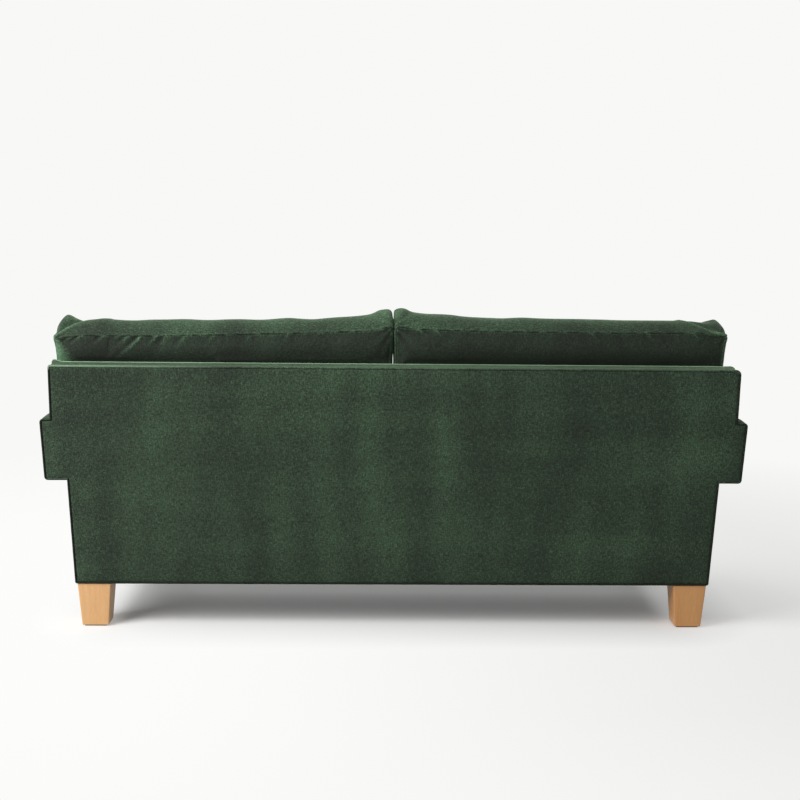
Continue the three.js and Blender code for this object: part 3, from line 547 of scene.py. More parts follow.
def boxed_case(low, high, mask, shares, bulge):
    """A closed case between a low and a high panel, each a grid of (u, v, t) points. The boxing's rings lie
    at shares s of the way from one to the other, and stand out by bulge * (4 * s * (1 - s)) ** 0.8. Returns
    points, faces, the outline's grid numbers, and each ring point's distance to the nearest seam."""
    faces, outline, ends = case_faces(mask, len(shares))
    low, high = low.reshape(-1, 3), high.reshape(-1, 3)
    low_seam, high_seam = low[outline], high[outline]
    run = (low_seam + high_seam)[ends[:, 1], :2] - (low_seam + high_seam)[ends[:, 0], :2]
    outwards = np.zeros((len(outline), 3))
    for end in (0, 1):
        np.add.at(outwards, ends[:, end], np.stack([run[:, 1], -run[:, 0], np.zeros(len(run))], 1))
    outwards /= np.linalg.norm(outwards, axis=1, keepdims=True)
    share = np.asarray(shares)[:, None, None]
    swell = (4 * share * (1 - share)) ** 0.8
    rings = low_seam * (1 - share) + high_seam * share + outwards * np.reshape(bulge, (-1, 1)) * swell
    across = np.linalg.norm(high_seam - low_seam, axis=1) * np.minimum(share, 1 - share)[..., 0]
    return np.concatenate([low, high, rings.reshape(-1, 3)]), faces, outline, across.ravel()


def add_piece(name, points, faces, material, **fields):
    """A smooth closed mesh from points and quads, without the points that no face uses. Each field becomes
    an attribute with one value for each point."""
    used, numbers = np.unique(faces, return_inverse=True)
    mesh = bpy.data.meshes.new(name)
    mesh.from_pydata(points[used].tolist(), [], numbers.reshape(faces.shape).tolist())
    mesh.shade_smooth()
    for field, values in fields.items():
        attribute = mesh.attributes.new(field, "FLOAT", "POINT")
        attribute.data.foreach_set("value", np.asarray(values)[used].astype(np.float32))
    mesh.materials.append(material)
    piece = bpy.data.objects.new(name, mesh)
    scene.collection.objects.link(piece)
    return piece


def upholster(piece, body, node):
    """Says what a velvet piece rides on, and hides the solid that it stands for."""
    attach(piece, body)
    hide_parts(node)


def stretched_panel(mask, corners, u, v, seed):
    """A thin pad with velvet drawn tight over its low side: t is panel_edge at the outline, less panel_lip
    times the fullness within lip_reach of it and panel_swell times that within swell_reach, plus two
    drifts. The high side is flat."""
    inside = outline_distance(u, v, corners)
    ripple = ripple_height * drift(u, v, ripple_length, seed)
    ripple = ripple + wave_height * drift(u, v, wave_length, seed + 1)
    face = panel_edge - panel_lip * fullness(inside, lip_reach) - panel_swell * fullness(inside, swell_reach)
    face = face + ripple * fullness(inside, ripple_reach)
    low = np.stack([u, v, face], -1)
    high = np.stack([u, v, np.full_like(u, panel_thickness)], -1)
    points, faces, outline, across = boxed_case(low, high, mask, boxing_shares, boxing_bulge)
    distance = np.concatenate([inside.ravel(), inside.ravel() + panel_thickness, across])
    nearness = seam_nearness(np.maximum(distance - stitch_half, 0), stitch_reach)
    return points, faces, panel_stitch_share * nearness


panel_corners = both_halves(half_outline(panel_inset), half_outline(panel_inset, -1))
stops = [0, body_half - panel_inset, back_half - panel_inset, half_width - panel_inset]
columns = lines(stops, grid_step)
columns = np.concatenate([-columns[:0:-1], columns])
rows = lines([leg_top + panel_inset, box_floor + panel_inset, arm_top - panel_inset, back_top - panel_inset],
             grid_step)
row_middle = middles(rows)
reach = np.select([row_middle < box_floor + panel_inset, row_middle < arm_top - panel_inset],
                  [stops[1], stops[3]], stops[2])
mask = np.abs(middles(columns)) < reach[:, None]


def tapered(x, z):
    """Distances from the middle plane, drawn in as the body narrows to the hem, the arm's box to its floor,
    and the back to its top, each evenly with height."""
    body = (body_half - foot_half) * np.clip((box_floor - z) / (box_floor - leg_top), 0, 1) * x / body_half
    box = (half_width - box_half) * np.clip((arm_top - z) / (arm_top - box_floor), 0, 1)
    box = np.where(z >= box_floor, box, 0) * np.clip((x - body_half) / (half_width - body_half), 0, 1)
    back = (back_half - top_half) * np.clip((z - arm_top) / (back_top - arm_top), 0, 1) * x / back_half
    return x - body - box - back


u, v = np.meshgrid(columns, rows)
side, u = np.sign(u), np.abs(u)
top_radius = np.where(side > 0, top_radii[1], top_radii[-1])
for at, towards, radius in (
    ((stops[1], rows[0]), (1, -1), hem_radius),
    ((stops[3], box_floor + panel_inset), (1, -1), box_radius - panel_inset),
    ((stops[3], arm_top - panel_inset), (1, 1), arm_radius - panel_inset),
    ((stops[2], rows[-1]), (1, 1), top_radius - panel_inset),
):
    u, v = round_corner(u, v, at, towards, radius)
points, faces, seam = stretched_panel(mask, panel_corners, side * tapered(u, v), v, 11)
points = np.stack([points[:, 0], back_y(points[:, 1], points[:, 2]), points[:, 1]], 1)
# Painted shade: the panel is darker towards its bottom and on the arms' ends.
low_shade_reach = 0.40
low_shade = 0.03
arm_end_shade = 0.06
low_down = 1 - np.clip((points[:, 2] - leg_top) / low_shade_reach, 0, 1)
opened = -low_shade * low_down - arm_end_shade * (np.abs(points[:, 0]) > back_half)
outside_back = add_piece("outside_back_velvet", points, faces, velvet, seam=seam, opened=opened)
upholster(outside_back, "sofa_frame", "outside_back_panel")


# The welt: a cord of 5 mm covered with a bias strip of the same velvet, sewn into the seam all round the
# outside back. It gets a painted highlight where it faces up and along the back's top, and painted shade
# elsewhere.
def rounded(corners, spacing, closed=True, arc_steps=5):
    """A path through corners (u, v, radius): straight runs in even steps, and arcs that touch both sides."""
    at = np.array([corner[:2] for corner in corners])
    radius = np.array([corner[2] for corner in corners])
    to_last, to_next = np.roll(at, 1, 0) - at, np.roll(at, -1, 0) - at
    to_last /= np.linalg.norm(to_last, axis=1, keepdims=True)
    to_next /= np.linalg.norm(to_next, axis=1, keepdims=True)
    half = np.arccos(np.clip((to_last * to_next).sum(1), -1, 1)) / 2
    reach = (radius / np.tan(half))[:, None]
    middle = to_last + to_next
    middle /= np.linalg.norm(middle, axis=1, keepdims=True)
    centre = at + middle * (radius / np.sin(half))[:, None]
    start, end = at + to_last * reach, at + to_next * reach
    share = np.linspace(0, 1, arc_steps + 1)[:, None]
    path = []
    for k, turn in enumerate(np.pi - 2 * half):
        if radius[k]:
            first, last = np.sin((1 - share) * turn), np.sin(share * turn)
            arc = first * (start[k] - centre[k]) + last * (end[k] - centre[k])
            path.append(centre[k] + arc / np.sin(turn))
        else:
            path.append(at[k:k + 1])
        if closed or k < len(corners) - 1:
            run = start[(k + 1) % len(corners)] - end[k]
            steps = max(1, round(np.linalg.norm(run) / spacing))
            path.append(end[k] + run * (np.arange(1, steps) / steps)[:, None])
    return np.concatenate(path)


cord_unevenness = 0.04
cord_lump = 0.02


def cord_along(path, up_axis, radius, seed, closed=True, sides=12):
    """A round cord along a path, its section square to the way it runs, thicker or thinner from place to
    place by its unevenness at most. An open cord ends in flat caps."""
    if closed:
        along = np.roll(path, -1, 0) - np.roll(path, 1, 0)
    else:
        along = np.gradient(path, axis=0)
    along /= np.linalg.norm(along, axis=1, keepdims=True)
    across = np.cross(along, up_axis)
    across /= np.linalg.norm(across, axis=1, keepdims=True)
    over = np.cross(across, along)
    angle = 2 * np.pi * np.arange(sides) / sides
    place = np.cumsum(np.linalg.norm(np.diff(path, axis=0, prepend=path[:1]), axis=1))
    girth = radius * (1 + cord_unevenness * drift(place, 0 * place, cord_lump, seed))[:, None, None]
    ring = across[:, None] * np.cos(angle)[:, None] + over[:, None] * np.sin(angle)[:, None]
    points = (path[:, None] + girth * ring).reshape(-1, 3)
    spans = len(path) if closed else len(path) - 1
    i, k = (grid.ravel() for grid in np.meshgrid(np.arange(spans), np.arange(sides), indexing="ij"))
    following, beside = (i + 1) % len(path), (k + 1) % sides
    here, there = i * sides, following * sides
    faces = np.stack([here + k, there + k, there + beside, here + beside], 1)
    if not closed:
        k = np.arange(1, sides - 2, 2)
        end = (len(path) - 1) * sides
        caps = [np.stack([0 * k, k, k + 1, k + 2], 1), np.stack([0 * k, k + 2, k + 1, k], 1) + end]
        faces = np.concatenate([faces, *caps])
    return points, faces


welt_step = 0.008
hem_band = 0.02
# The welts' painted light and shade: painted shade all round, and painted highlights, brightest at the
# back's top left end, towards the window lamp.
welt_shade = 0.42
top_glow = 0.55
left_glow = 2.3
left_end = 0.45
left_reach = 0.4


def add_welt(name, path, node, seed, glow, closed=True):
    """A velvet-covered cord on the sofa's frame, as part of the cover that it is sewn to. It gets a painted
    highlight where it faces up, by the glow at most, and all along the back's top, most at its left end.
    Elsewhere it gets painted shade."""
    points, faces = cord_along(path, (0, 1, 0), welt_radius, seed, closed)
    upwards = (points.reshape(len(path), -1, 3) - path[:, None])[..., 2].ravel() / welt_radius
    at_top = points[:, 2] > back_top - 4 * welt_radius
    to_left = np.clip((points[:, 0] - left_end) / left_reach, 0, 1)
    above_hem = points[:, 2] > leg_top + hem_band
    opened = above_hem * glow * np.clip(upwards, 0, 1) - welt_shade + at_top * (top_glow + left_glow * to_left)
    welt = add_piece(name, points, faces, strip_velvet, opened=opened)
    upholster(welt, "sofa_frame", node)


path = rounded(both_halves(half_outline(welt_radius), half_outline(welt_radius, -1)), welt_step)
path = np.stack([path[:, 0], back_y(path[:, 1], welt_radius), path[:, 1]], 1)
add_welt("outside_back_welt", path, "outside_back_panel", 21, 1.0)


# The arm fronts: a velvet facing on a thin pad over each arm's front panel, cut to the arm's outline, with
# the same welt round it. The arm's left and right pieces mirror each other apart from their ripples.
arm_front_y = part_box("arm_front_facing_left")[0].y


def arm_outline(inset):
    """Corners (x, z, radius) of the left arm's outline, drawn in by an inset."""
    return [
        (arm_inner + inset, leg_top + inset, 0),
        (foot_half - inset, leg_top + inset, hem_radius),
        (body_half - inset, box_floor + inset, step_radius),
        (box_half - inset, box_floor + inset, box_radius - inset),
        (half_width - inset, arm_top - inset, arm_radius - inset),
        (arm_inner + inset, arm_top - inset, arm_radius - inset),
    ]


def mirrored(points, faces):
    """The mirror image in the sofa's middle plane, with its faces turned to point outwards again."""
    return points * (-1, 1, 1), faces[:, ::-1]


columns = lines([arm_inner + panel_inset, body_half - panel_inset, half_width - panel_inset], grid_step)
rows = lines([leg_top + panel_inset, box_floor + panel_inset, arm_top - panel_inset], grid_step)
in_body = middles(rows) < box_floor + panel_inset
mask = middles(columns) < np.where(in_body, body_half - panel_inset, half_width - panel_inset)[:, None]
for name, seed in (("left", 31), ("right", 41)):
    u, v = np.meshgrid(columns, rows)
    for at, towards, radius in (
        ((columns[-1], box_floor + panel_inset), (1, -1), box_radius - panel_inset),
        ((columns[-1], rows[-1]), (1, 1), arm_radius - panel_inset),
        ((columns[0], rows[-1]), (-1, 1), arm_radius - panel_inset),
    ):
        u, v = round_corner(u, v, at, towards, radius)
    u = tapered(u, v)
    u, v = -u[:, ::-1], v[:, ::-1]
    facing_corners = [(-x, z) for x, z, radius in reversed(arm_outline(panel_inset))]
    points, faces, seam = stretched_panel(mask[:, ::-1], facing_corners, u, v, seed)
    points = np.stack([-points[:, 0], arm_front_y + points[:, 2], points[:, 1]], 1)
    path = rounded(arm_outline(welt_radius), welt_step)
    path = np.stack([path[:, 0], np.full(len(path), arm_front_y + welt_radius), path[:, 1]], 1)
    if name == "right":
        points, faces = mirrored(points, faces)
        path = path * (-1, 1, 1)
    facing = add_piece("arm_facing_" + name, points, faces, velvet, seam=seam)
    upholster(facing, "sofa_frame", "arm_front_facing_" + name)
    add_welt("arm_welt_" + name, path, "arm_front_facing_" + name, seed + 2, 1.0)


# The arm covers: velvet over a felt pad, pulled up from the seat deck over the arm's top, round the box and
# down to the hem, where it is stapled under the side rail. Both ends are sewn to a welt, and there the
# cover draws in and puckers slightly.
cloth_gap = 0.0003
cover_thickness = 0.005
# How much of a seam's painted shade and lip highlight shows on the arm covers.
cover_stitch_share = 0.8
tuck_width = 0.030
tuck_depth = 0.004
deck_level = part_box("seat_deck")[1].z
tuck_level = deck_level - tuck_depth
cover_front = arm_front_y + panel_thickness + cloth_gap
cover_rear_depth = panel_thickness + cloth_gap
top_swell = 0.006
side_swell = 0.0045
crease_reach = 0.030
end_reach = 0.05
pucker_height = 0.0008
pucker_length = 0.022
pucker_reach = 0.02
cover_wave_height = 0.0010
cover_wave_length = 0.16


def folded_cover(path, creases, ends, swell, seed, turn):
    """A cover carried along straight lines between two ends: the path's points move out along its normals by
    swell times the fullness within crease_reach of a crease and within end_reach of an end, and pucker
    near the ends. ends(path, share) gives the third coordinate. Returns grids for both sides of the
    cover, and each point's distance to the nearer end."""
    along = np.gradient(path, axis=0)
    along /= np.linalg.norm(along, axis=1, keepdims=True)
    outwards = np.stack([-along[:, 1], along[:, 0]], 1) * turn
    crease = np.min([np.hypot(*(path - corner).T) for corner in creases], axis=0)
    run = np.concatenate([[0], np.cumsum(np.linalg.norm(np.diff(path, axis=0), axis=1))])
    length = abs(np.ptp(ends(path, np.array([0.0, 1.0])[:, None])))
    share = lines([0, 1], grid_step / length, seam_steps / length)[:, None]
    to_end = np.minimum(share, 1 - share) * length
    pucker = pucker_height * drift(run, 0 * to_end + 7, pucker_length, seed) * np.exp(-to_end / pucker_reach)
    wave = cover_wave_height * drift(run, to_end, cover_wave_length, seed + 1) * fullness(to_end, end_reach)
    lift = swell * fullness(crease, crease_reach) * fullness(to_end, end_reach)
    lift = lift + (pucker + wave) * fullness(crease, pucker_reach)
    far = np.concatenate([path + lift[..., None] * outwards, ends(path, share)[..., None]], -1)
    near = np.concatenate([np.broadcast_to(path - cover_thickness * outwards, far[..., :2].shape),
                           ends(path, share)[..., None]], -1)
    return near, far, to_end + 0 * run


arm_corners = [
    (arm_inner, tuck_level, 0),
    (arm_inner, arm_top, arm_radius),
    (half_width, arm_top, arm_radius),
    (box_half, box_floor, box_radius),
    (body_half, box_floor, step_radius),
    (foot_half, leg_top, hem_radius),
    (foot_half - tuck_width, leg_top, 0),
]
arm_path = rounded(arm_corners, grid_step, closed=False)
creases = [corner[:2] for corner in arm_corners[1:6]]
on_top = np.abs(arm_path[:, 1] - arm_top) < 0.001
swell = np.where(on_top, top_swell, side_swell)


def arm_ends(path, share):
    """y along the arm, from its front welt to the raked rear one."""
    return cover_front + share * (back_y(path[:, 1], cover_rear_depth) - cover_front)


for name, seed in (("left", 51), ("right", 61)):
    near, far, to_end = folded_cover(arm_path, creases, arm_ends, swell, seed, 1)
    mask = np.ones((far.shape[0] - 1, far.shape[1] - 1), bool)
    faces = case_faces(mask, 0)[0]
    points = np.concatenate([near.reshape(-1, 3), far.reshape(-1, 3)])[:, [0, 2, 1]]
    if name == "right":
        points, faces = mirrored(points, faces)
    seam = cover_stitch_share * seam_nearness(np.concatenate([to_end.ravel()] * 2), stitch_reach)
    cover = add_piece("arm_velvet_" + name, points, faces, velvet, seam=seam)
    upholster(cover, "sofa_frame", "arm_cover_" + name)


# The inside back: velvet over feather-soft wadding on the webbing, with a boxing strip over its top and its
# sides above the arms. A second welt runs along the strip's front edge, and its mitred corners stand up,
# the left one more than the right. It is open behind, where the outside back closes it.
# Depths in front of the sofa's rear face.
inside_front = 0.100
inside_rear = panel_thickness + 2 * cloth_gap
inside_wall = 0.014
wall_step = 0.001
side_gap = 0.0005
inside_floor = 0.085
inside_swell = 0.010
crown_reach = 0.16
strip_sag = 0.0036
top_slope = math.tan(math.radians(-0.7))
slope_foot = 0.700
slope_height = 0.060
shoulder_drop = 0.020
shoulder = arm_top - shoulder_drop
inside_foot = deck_level + cloth_gap
corner_peaks = {1: 0.0080, -1: 0.0015}
peak_inset = 0.004
peak_reach = 0.022
corner_spread = 0.008
spread_reach = 0.1
front_welt_depth = inside_front - welt_radius
inside_welt_step = 0.006
welt_inset = 0.001
welt_drop = 0.002
# The painted highlight on the strip over the top, and where it grows towards the front welt.
strip_highlight = 0.15
front_highlight = 0.9
front_highlight_from = 0.72

stops = [0, arm_inner - side_gap, back_half]
wall_lines = np.concatenate([seam_steps, [inside_wall, inside_wall + wall_step]])
columns = lines(stops, grid_step, wall_lines)
columns = np.concatenate([-columns[:0:-1], columns])
rows = lines([inside_foot, shoulder, back_top], grid_step, wall_lines)
mask = np.abs(middles(columns)) < np.where(middles(rows) < shoulder, stops[1], stops[2])[:, None]
u, v = np.meshgrid(columns, rows)
side, u = np.sign(u), np.abs(u)
top_radius = np.where(side > 0, top_radii[1], top_radii[-1])
u, v = round_corner(u, v, (stops[2], rows[-1]), (1, 1), top_radius)
u = side * tapered(u, v)
half = [(stops[1], inside_foot, 0), (stops[1], shoulder, 0),
        (stops[2], shoulder, 0), (top_half, back_top, 0)]
inside_corners = both_halves(half, half)
inside = outline_distance(u, v, inside_corners)
low = np.stack([u, v, np.where(inside < inside_wall + wall_step / 2, inside_rear, inside_floor)], -1)
high = np.stack([u, v, inside_front + inside_swell * (fullness(inside, crown_reach) - 1)], -1)
strip_shares = lines([0, 1], grid_step / inside_front, seam_steps / inside_front)[1:-1]
points, faces, outline, across = boxed_case(low, high, mask, strip_shares, -strip_sag)
seam = seam_nearness(np.concatenate([inside.ravel() + inside_wall, inside.ravel(), across]))


def lifted(x, z, depth):
    """Heights on the inside back: its top dips slightly towards the front, where its two mitred corners
    stand up, by z + n * depth * top_slope + n ** 3 * peak * corner * forward ** 1.5, with n from 0 below
    to 1 near the top."""
    near_top = np.clip((z - slope_foot) / slope_height, 0, 1)
    peak = np.where(x > 0, corner_peaks[1], corner_peaks[-1])
    corner = np.clip(1 - np.abs(np.abs(x) - top_half + peak_inset) / peak_reach, 0, 1)
    forward = np.clip(depth / inside_front, 0, 1)
    return z + near_top * depth * top_slope + near_top ** 3 * peak * corner * forward ** 1.5


def spread(x, z, depth):
    """Distances from the middle plane on the inside back, whose sides lean out towards the front near the
    top."""
    near_top = np.clip((z - slope_foot) / slope_height, 0, 1)
    at_side = np.clip(1 - (back_half - np.abs(x)) / spread_reach, 0, 1)
    return x + np.sign(x) * corner_spread * near_top * at_side * np.clip(depth / inside_front, 0, 1)


x, depth = points[:, 0], points[:, 2]
z = lifted(x, points[:, 1], depth)
points = np.stack([spread(x, z, depth), back_y(z, depth), z], 1)
# The strip gets a painted highlight, which grows towards the front welt.
strip_light = np.clip((strip_shares - front_highlight_from) / (1 - front_highlight_from), 0, 1) ** 2
strip_light = strip_highlight + front_highlight * strip_light
strip_light = np.concatenate([np.zeros(2 * u.size), np.repeat(strip_light, len(outline))])
inside_back = add_piece("inside_back_velvet", points, faces, velvet, seam=seam, opened=strip_light)
upholster(inside_back, "sofa_frame", "inside_back_cover")

halves = [[(back_half - welt_inset, shoulder, 0),
           (top_half - welt_inset, back_top - welt_drop, top_radii[side])] for side in (1, -1)]
path = rounded(both_halves(*halves), inside_welt_step, closed=False)
z = lifted(path[:, 0], path[:, 1], front_welt_depth)
x = spread(path[:, 0], z, front_welt_depth)
path = np.stack([x, back_y(z, front_welt_depth), z], 1)
add_welt("inside_back_welt", path, "inside_back_cover", 71, 7.0, closed=False)


# The front border: velvet over a pad on the front rail, lapped over the rail's top under the deck and
# stapled below it.
border_low, border_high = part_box("front_border_cover")
border_radius = 0.009
border_swell = 0.004
border_corners = [
    (border_high.y, deck_level, 0),
    (border_low.y, deck_level, border_radius),
    (border_low.y, leg_top, hem_radius),
    (border_low.y + tuck_width, leg_top, 0),
]
border_path = rounded(border_corners, grid_step, closed=False)


def border_ends(path, share):
    """x along the border, between the two arms."""
    return border_low.x + share * (border_high.x - border_low.x) + 0 * path[:, 0]


creases = [corner[:2] for corner in border_corners[1:3]]
near, far, to_end = folded_cover(border_path, creases, border_ends, border_swell, 81, -1)
mask = np.ones((far.shape[0] - 1, far.shape[1] - 1), bool)
faces = case_faces(mask, 0)[0]
points = np.concatenate([near.reshape(-1, 3), far.reshape(-1, 3)])[:, [2, 0, 1]]
border = add_piece("front_border_velvet", points, faces, velvet, seam=np.zeros(len(points)))
upholster(border, "sofa_frame", "front_border_cover")


# The seat deck: dark green cotton cloth over a felt pad on the springs, sewn to the border in front and
# pulled down between the arms and under the back. The seat cushions lie on it.
# Plain cotton weave: yarns of 1 mm drawn at 3 mm so that they show, matt, with slightly uneven yarns.
weave_layers = [(0.003, 0.003, 1.0, 0.8), (0.06, 0.06, 2.0, 0.5)]
deck_cloth, shader = two_toned("plain_weave_cotton", "#26332a", "#3c4c40", weave_layers,
                               raised=(0.6, 0.0006), roughness=0.9)
shader.inputs["Specular IOR Level"].default_value = 0.2


def rectangle(columns, rows):
    """The four corners of a grid, in order round it."""
    left, right, foot, head = columns[0], columns[-1], rows[0], rows[-1]
    return [(left, foot), (right, foot), (right, head), (left, head)]


deck_low, deck_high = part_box("seat_deck")
deck_step = 0.02
deck_edge_drop = 0.002
deck_edge_reach = 0.012
deck_bulge = 0.0005
deck_seam_depth = 0.0015
deck_seam_half = 0.0021
columns = lines([deck_low.x, 0, deck_high.x], deck_step)
rows = lines([deck_low.y, deck_high.y - deck_edge_drop], deck_step)
u, v = np.meshgrid(columns, rows)
inside = outline_distance(u, v, rectangle(columns, rows))
face = deck_high.z - deck_edge_drop * (1 - fullness(inside, deck_edge_reach))
face = face - deck_seam_depth * (np.abs(u) < deck_seam_half)
low = np.stack([u, v, np.full_like(u, deck_low.z)], -1)
high = np.stack([u, v, face], -1)
mask = np.ones((len(rows) - 1, len(columns) - 1), bool)
points, faces, outline, across = boxed_case(low, high, mask, [0.5], deck_bulge)
deck = add_piece("seat_deck_cloth", points, faces, deck_cloth)
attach(deck, "sofa_frame")
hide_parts("seat_deck")


# The loose seat cushions: velvet cases round a foam block in a down wrap. A boxing strip joins a top and a
# bottom panel with plain seams. The wrap crowns the top, and the seams draw the sides in.
fill_frames = 20
# Place w is 0 and 1 on a case's panels, give or take this for rounding, and in between on its boxing.
on_panel = 0.0005


def read_points(mesh):
    """A mesh's vertex positions as rows of x, y and z."""
    points = np.zeros(len(mesh.vertices) * 3, np.float32)
    mesh.vertices.foreach_get("co", points)
    return points.reshape(-1, 3).astype(float)


def read_field(mesh, name):
    """The values of one of a mesh's point attributes."""
    values = np.zeros(len(mesh.vertices), np.float32)
    mesh.attributes[name].data.foreach_get("value", values)
    return values.astype(float)


def fill_case(piece, pressure, shrink, cap, hold, folds):
    """Fills a case by cloth simulation: pressure from inside, seams drawn up by a share of their length, no
    gravity. No point ends more than the cap from where it was cut. Then every face is split smoothly, and
    folds(u, v, w) gives how far the cloth stands out, how much painted light and shade it gets, and how much
    of the seam's painted shade shows, from each point's place in the cut case. hold(points) keeps the case
    clear of what it touches."""
    start = read_points(piece.data)
    move = np.zeros_like(start)
    drawn = piece.vertex_groups.new(name="drawn_up")
    drawn.add(np.flatnonzero(read_field(piece.data, "seam") > 0.999).tolist(), 1.0, "REPLACE")
    modifier = piece.modifiers.new("filling", "CLOTH")
    modifier.settings.quality = 6
    modifier.settings.mass = 0.25
    modifier.settings.tension_stiffness = 12
    modifier.settings.compression_stiffness = 12
    modifier.settings.shear_stiffness = 6
    modifier.settings.bending_stiffness = 0.4
    modifier.settings.air_damping = 6
    modifier.settings.use_pressure = True
    modifier.settings.uniform_pressure_force = pressure
    modifier.settings.vertex_group_shrink = "drawn_up"
    modifier.settings.shrink_max = shrink
    modifier.settings.effector_weights.gravity = 0
    modifier.collision_settings.use_collision = False
    modifier.point_cache.frame_start = 1
    modifier.point_cache.frame_end = fill_frames
    for step in range(1, fill_frames + 1):
        scene.frame_set(step)
    move = read_points(piece.evaluated_get(bpy.context.evaluated_depsgraph_get()).data) - start
    piece.modifiers.remove(modifier)
    piece.vertex_groups.clear()
    scene.frame_set(1)
    length = np.linalg.norm(move, axis=1, keepdims=True)
    points = hold(start + move * np.minimum(1, cap / np.maximum(length, 1e-9)))
    piece.data.vertices.foreach_set("co", points.astype(np.float32).ravel())
    piece.data.update()
    split = piece.modifiers.new("split", "SUBSURF")
    split.levels = 1
    split.render_levels = 1
    graph = bpy.context.evaluated_depsgraph_get()
    fine = bpy.data.meshes.new_from_object(piece.evaluated_get(graph), preserve_all_data_layers=True,
                                           depsgraph=graph)
    piece.modifiers.remove(split)
    coarse, piece.data = piece.data, fine
    bpy.data.meshes.remove(coarse)
    fine.name = piece.name
    height, opened, shade = folds(*(read_field(fine, name) for name in ("place_u", "place_v", "place_w")))
    seam = (read_field(fine, "seam") * shade).astype(np.float32)
    fine.attributes["seam"].data.foreach_set("value", seam)
    normals = np.zeros(len(fine.vertices) * 3, np.float32)
    fine.vertex_normals.foreach_get("vector", normals)
    points = hold(read_points(fine) + normals.reshape(-1, 3) * height[:, None])
    fine.vertices.foreach_set("co", points.astype(np.float32).ravel())
    # The painted light and shade that the folds give.
    attribute = fine.attributes.new("opened", "FLOAT", "POINT")
    attribute.data.foreach_set("value", opened.astype(np.float32))
    fine.update()


def cut_places(u, v, outline, shares):
    """Each point's place in the cut case: u, v, and w, 0 on the low panel, 1 on the high one, and the share
    of the way from one to the other on the boxing."""
    flat_u, flat_v = u.ravel(), v.ravel()
    ring = np.ones(len(outline))
    return {
        "place_u": np.concatenate([flat_u, flat_u, np.tile(flat_u[outline], len(shares))]),
        "place_v": np.concatenate([flat_v, flat_v, np.tile(flat_v[outline], len(shares))]),
        "place_w": np.concatenate([0 * flat_u, 0 * flat_u + 1, np.outer(shares, ring).ravel()]),
    }


seat_low, seat_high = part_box("seat_cushion_left")
seat_edge_height = 0.150
seat_side_swell = 0.006
seat_crown = 0.016
seat_crown_reach = 0.19
seat_pull = 0.007
seat_corner_radius = 0.018
seat_step = 0.013
# The filling, and the gaps that it leaves to the other covers.
seat_pressure = 2.5
seat_shrink = 0.03
seat_cap = 0.006
case_gap = 0.0006
back_gap = 0.001
# The folds, each with its height and length, and how much painted light and shade they get.
seat_pucker = 0.0015
seat_pucker_length = 0.016
seat_pucker_reach = 0.010
seat_wave = 0.0015
seat_wave_length = 0.09
seat_dent = 0.0025
seat_dent_length = 0.16
seat_dent_reach = 0.05
seat_pucker_shading = 60
seat_dent_shading = 20
seat_seam_shade = 0.85
seat_seam_uneven = 0.15
seat_stitch_length = 0.02
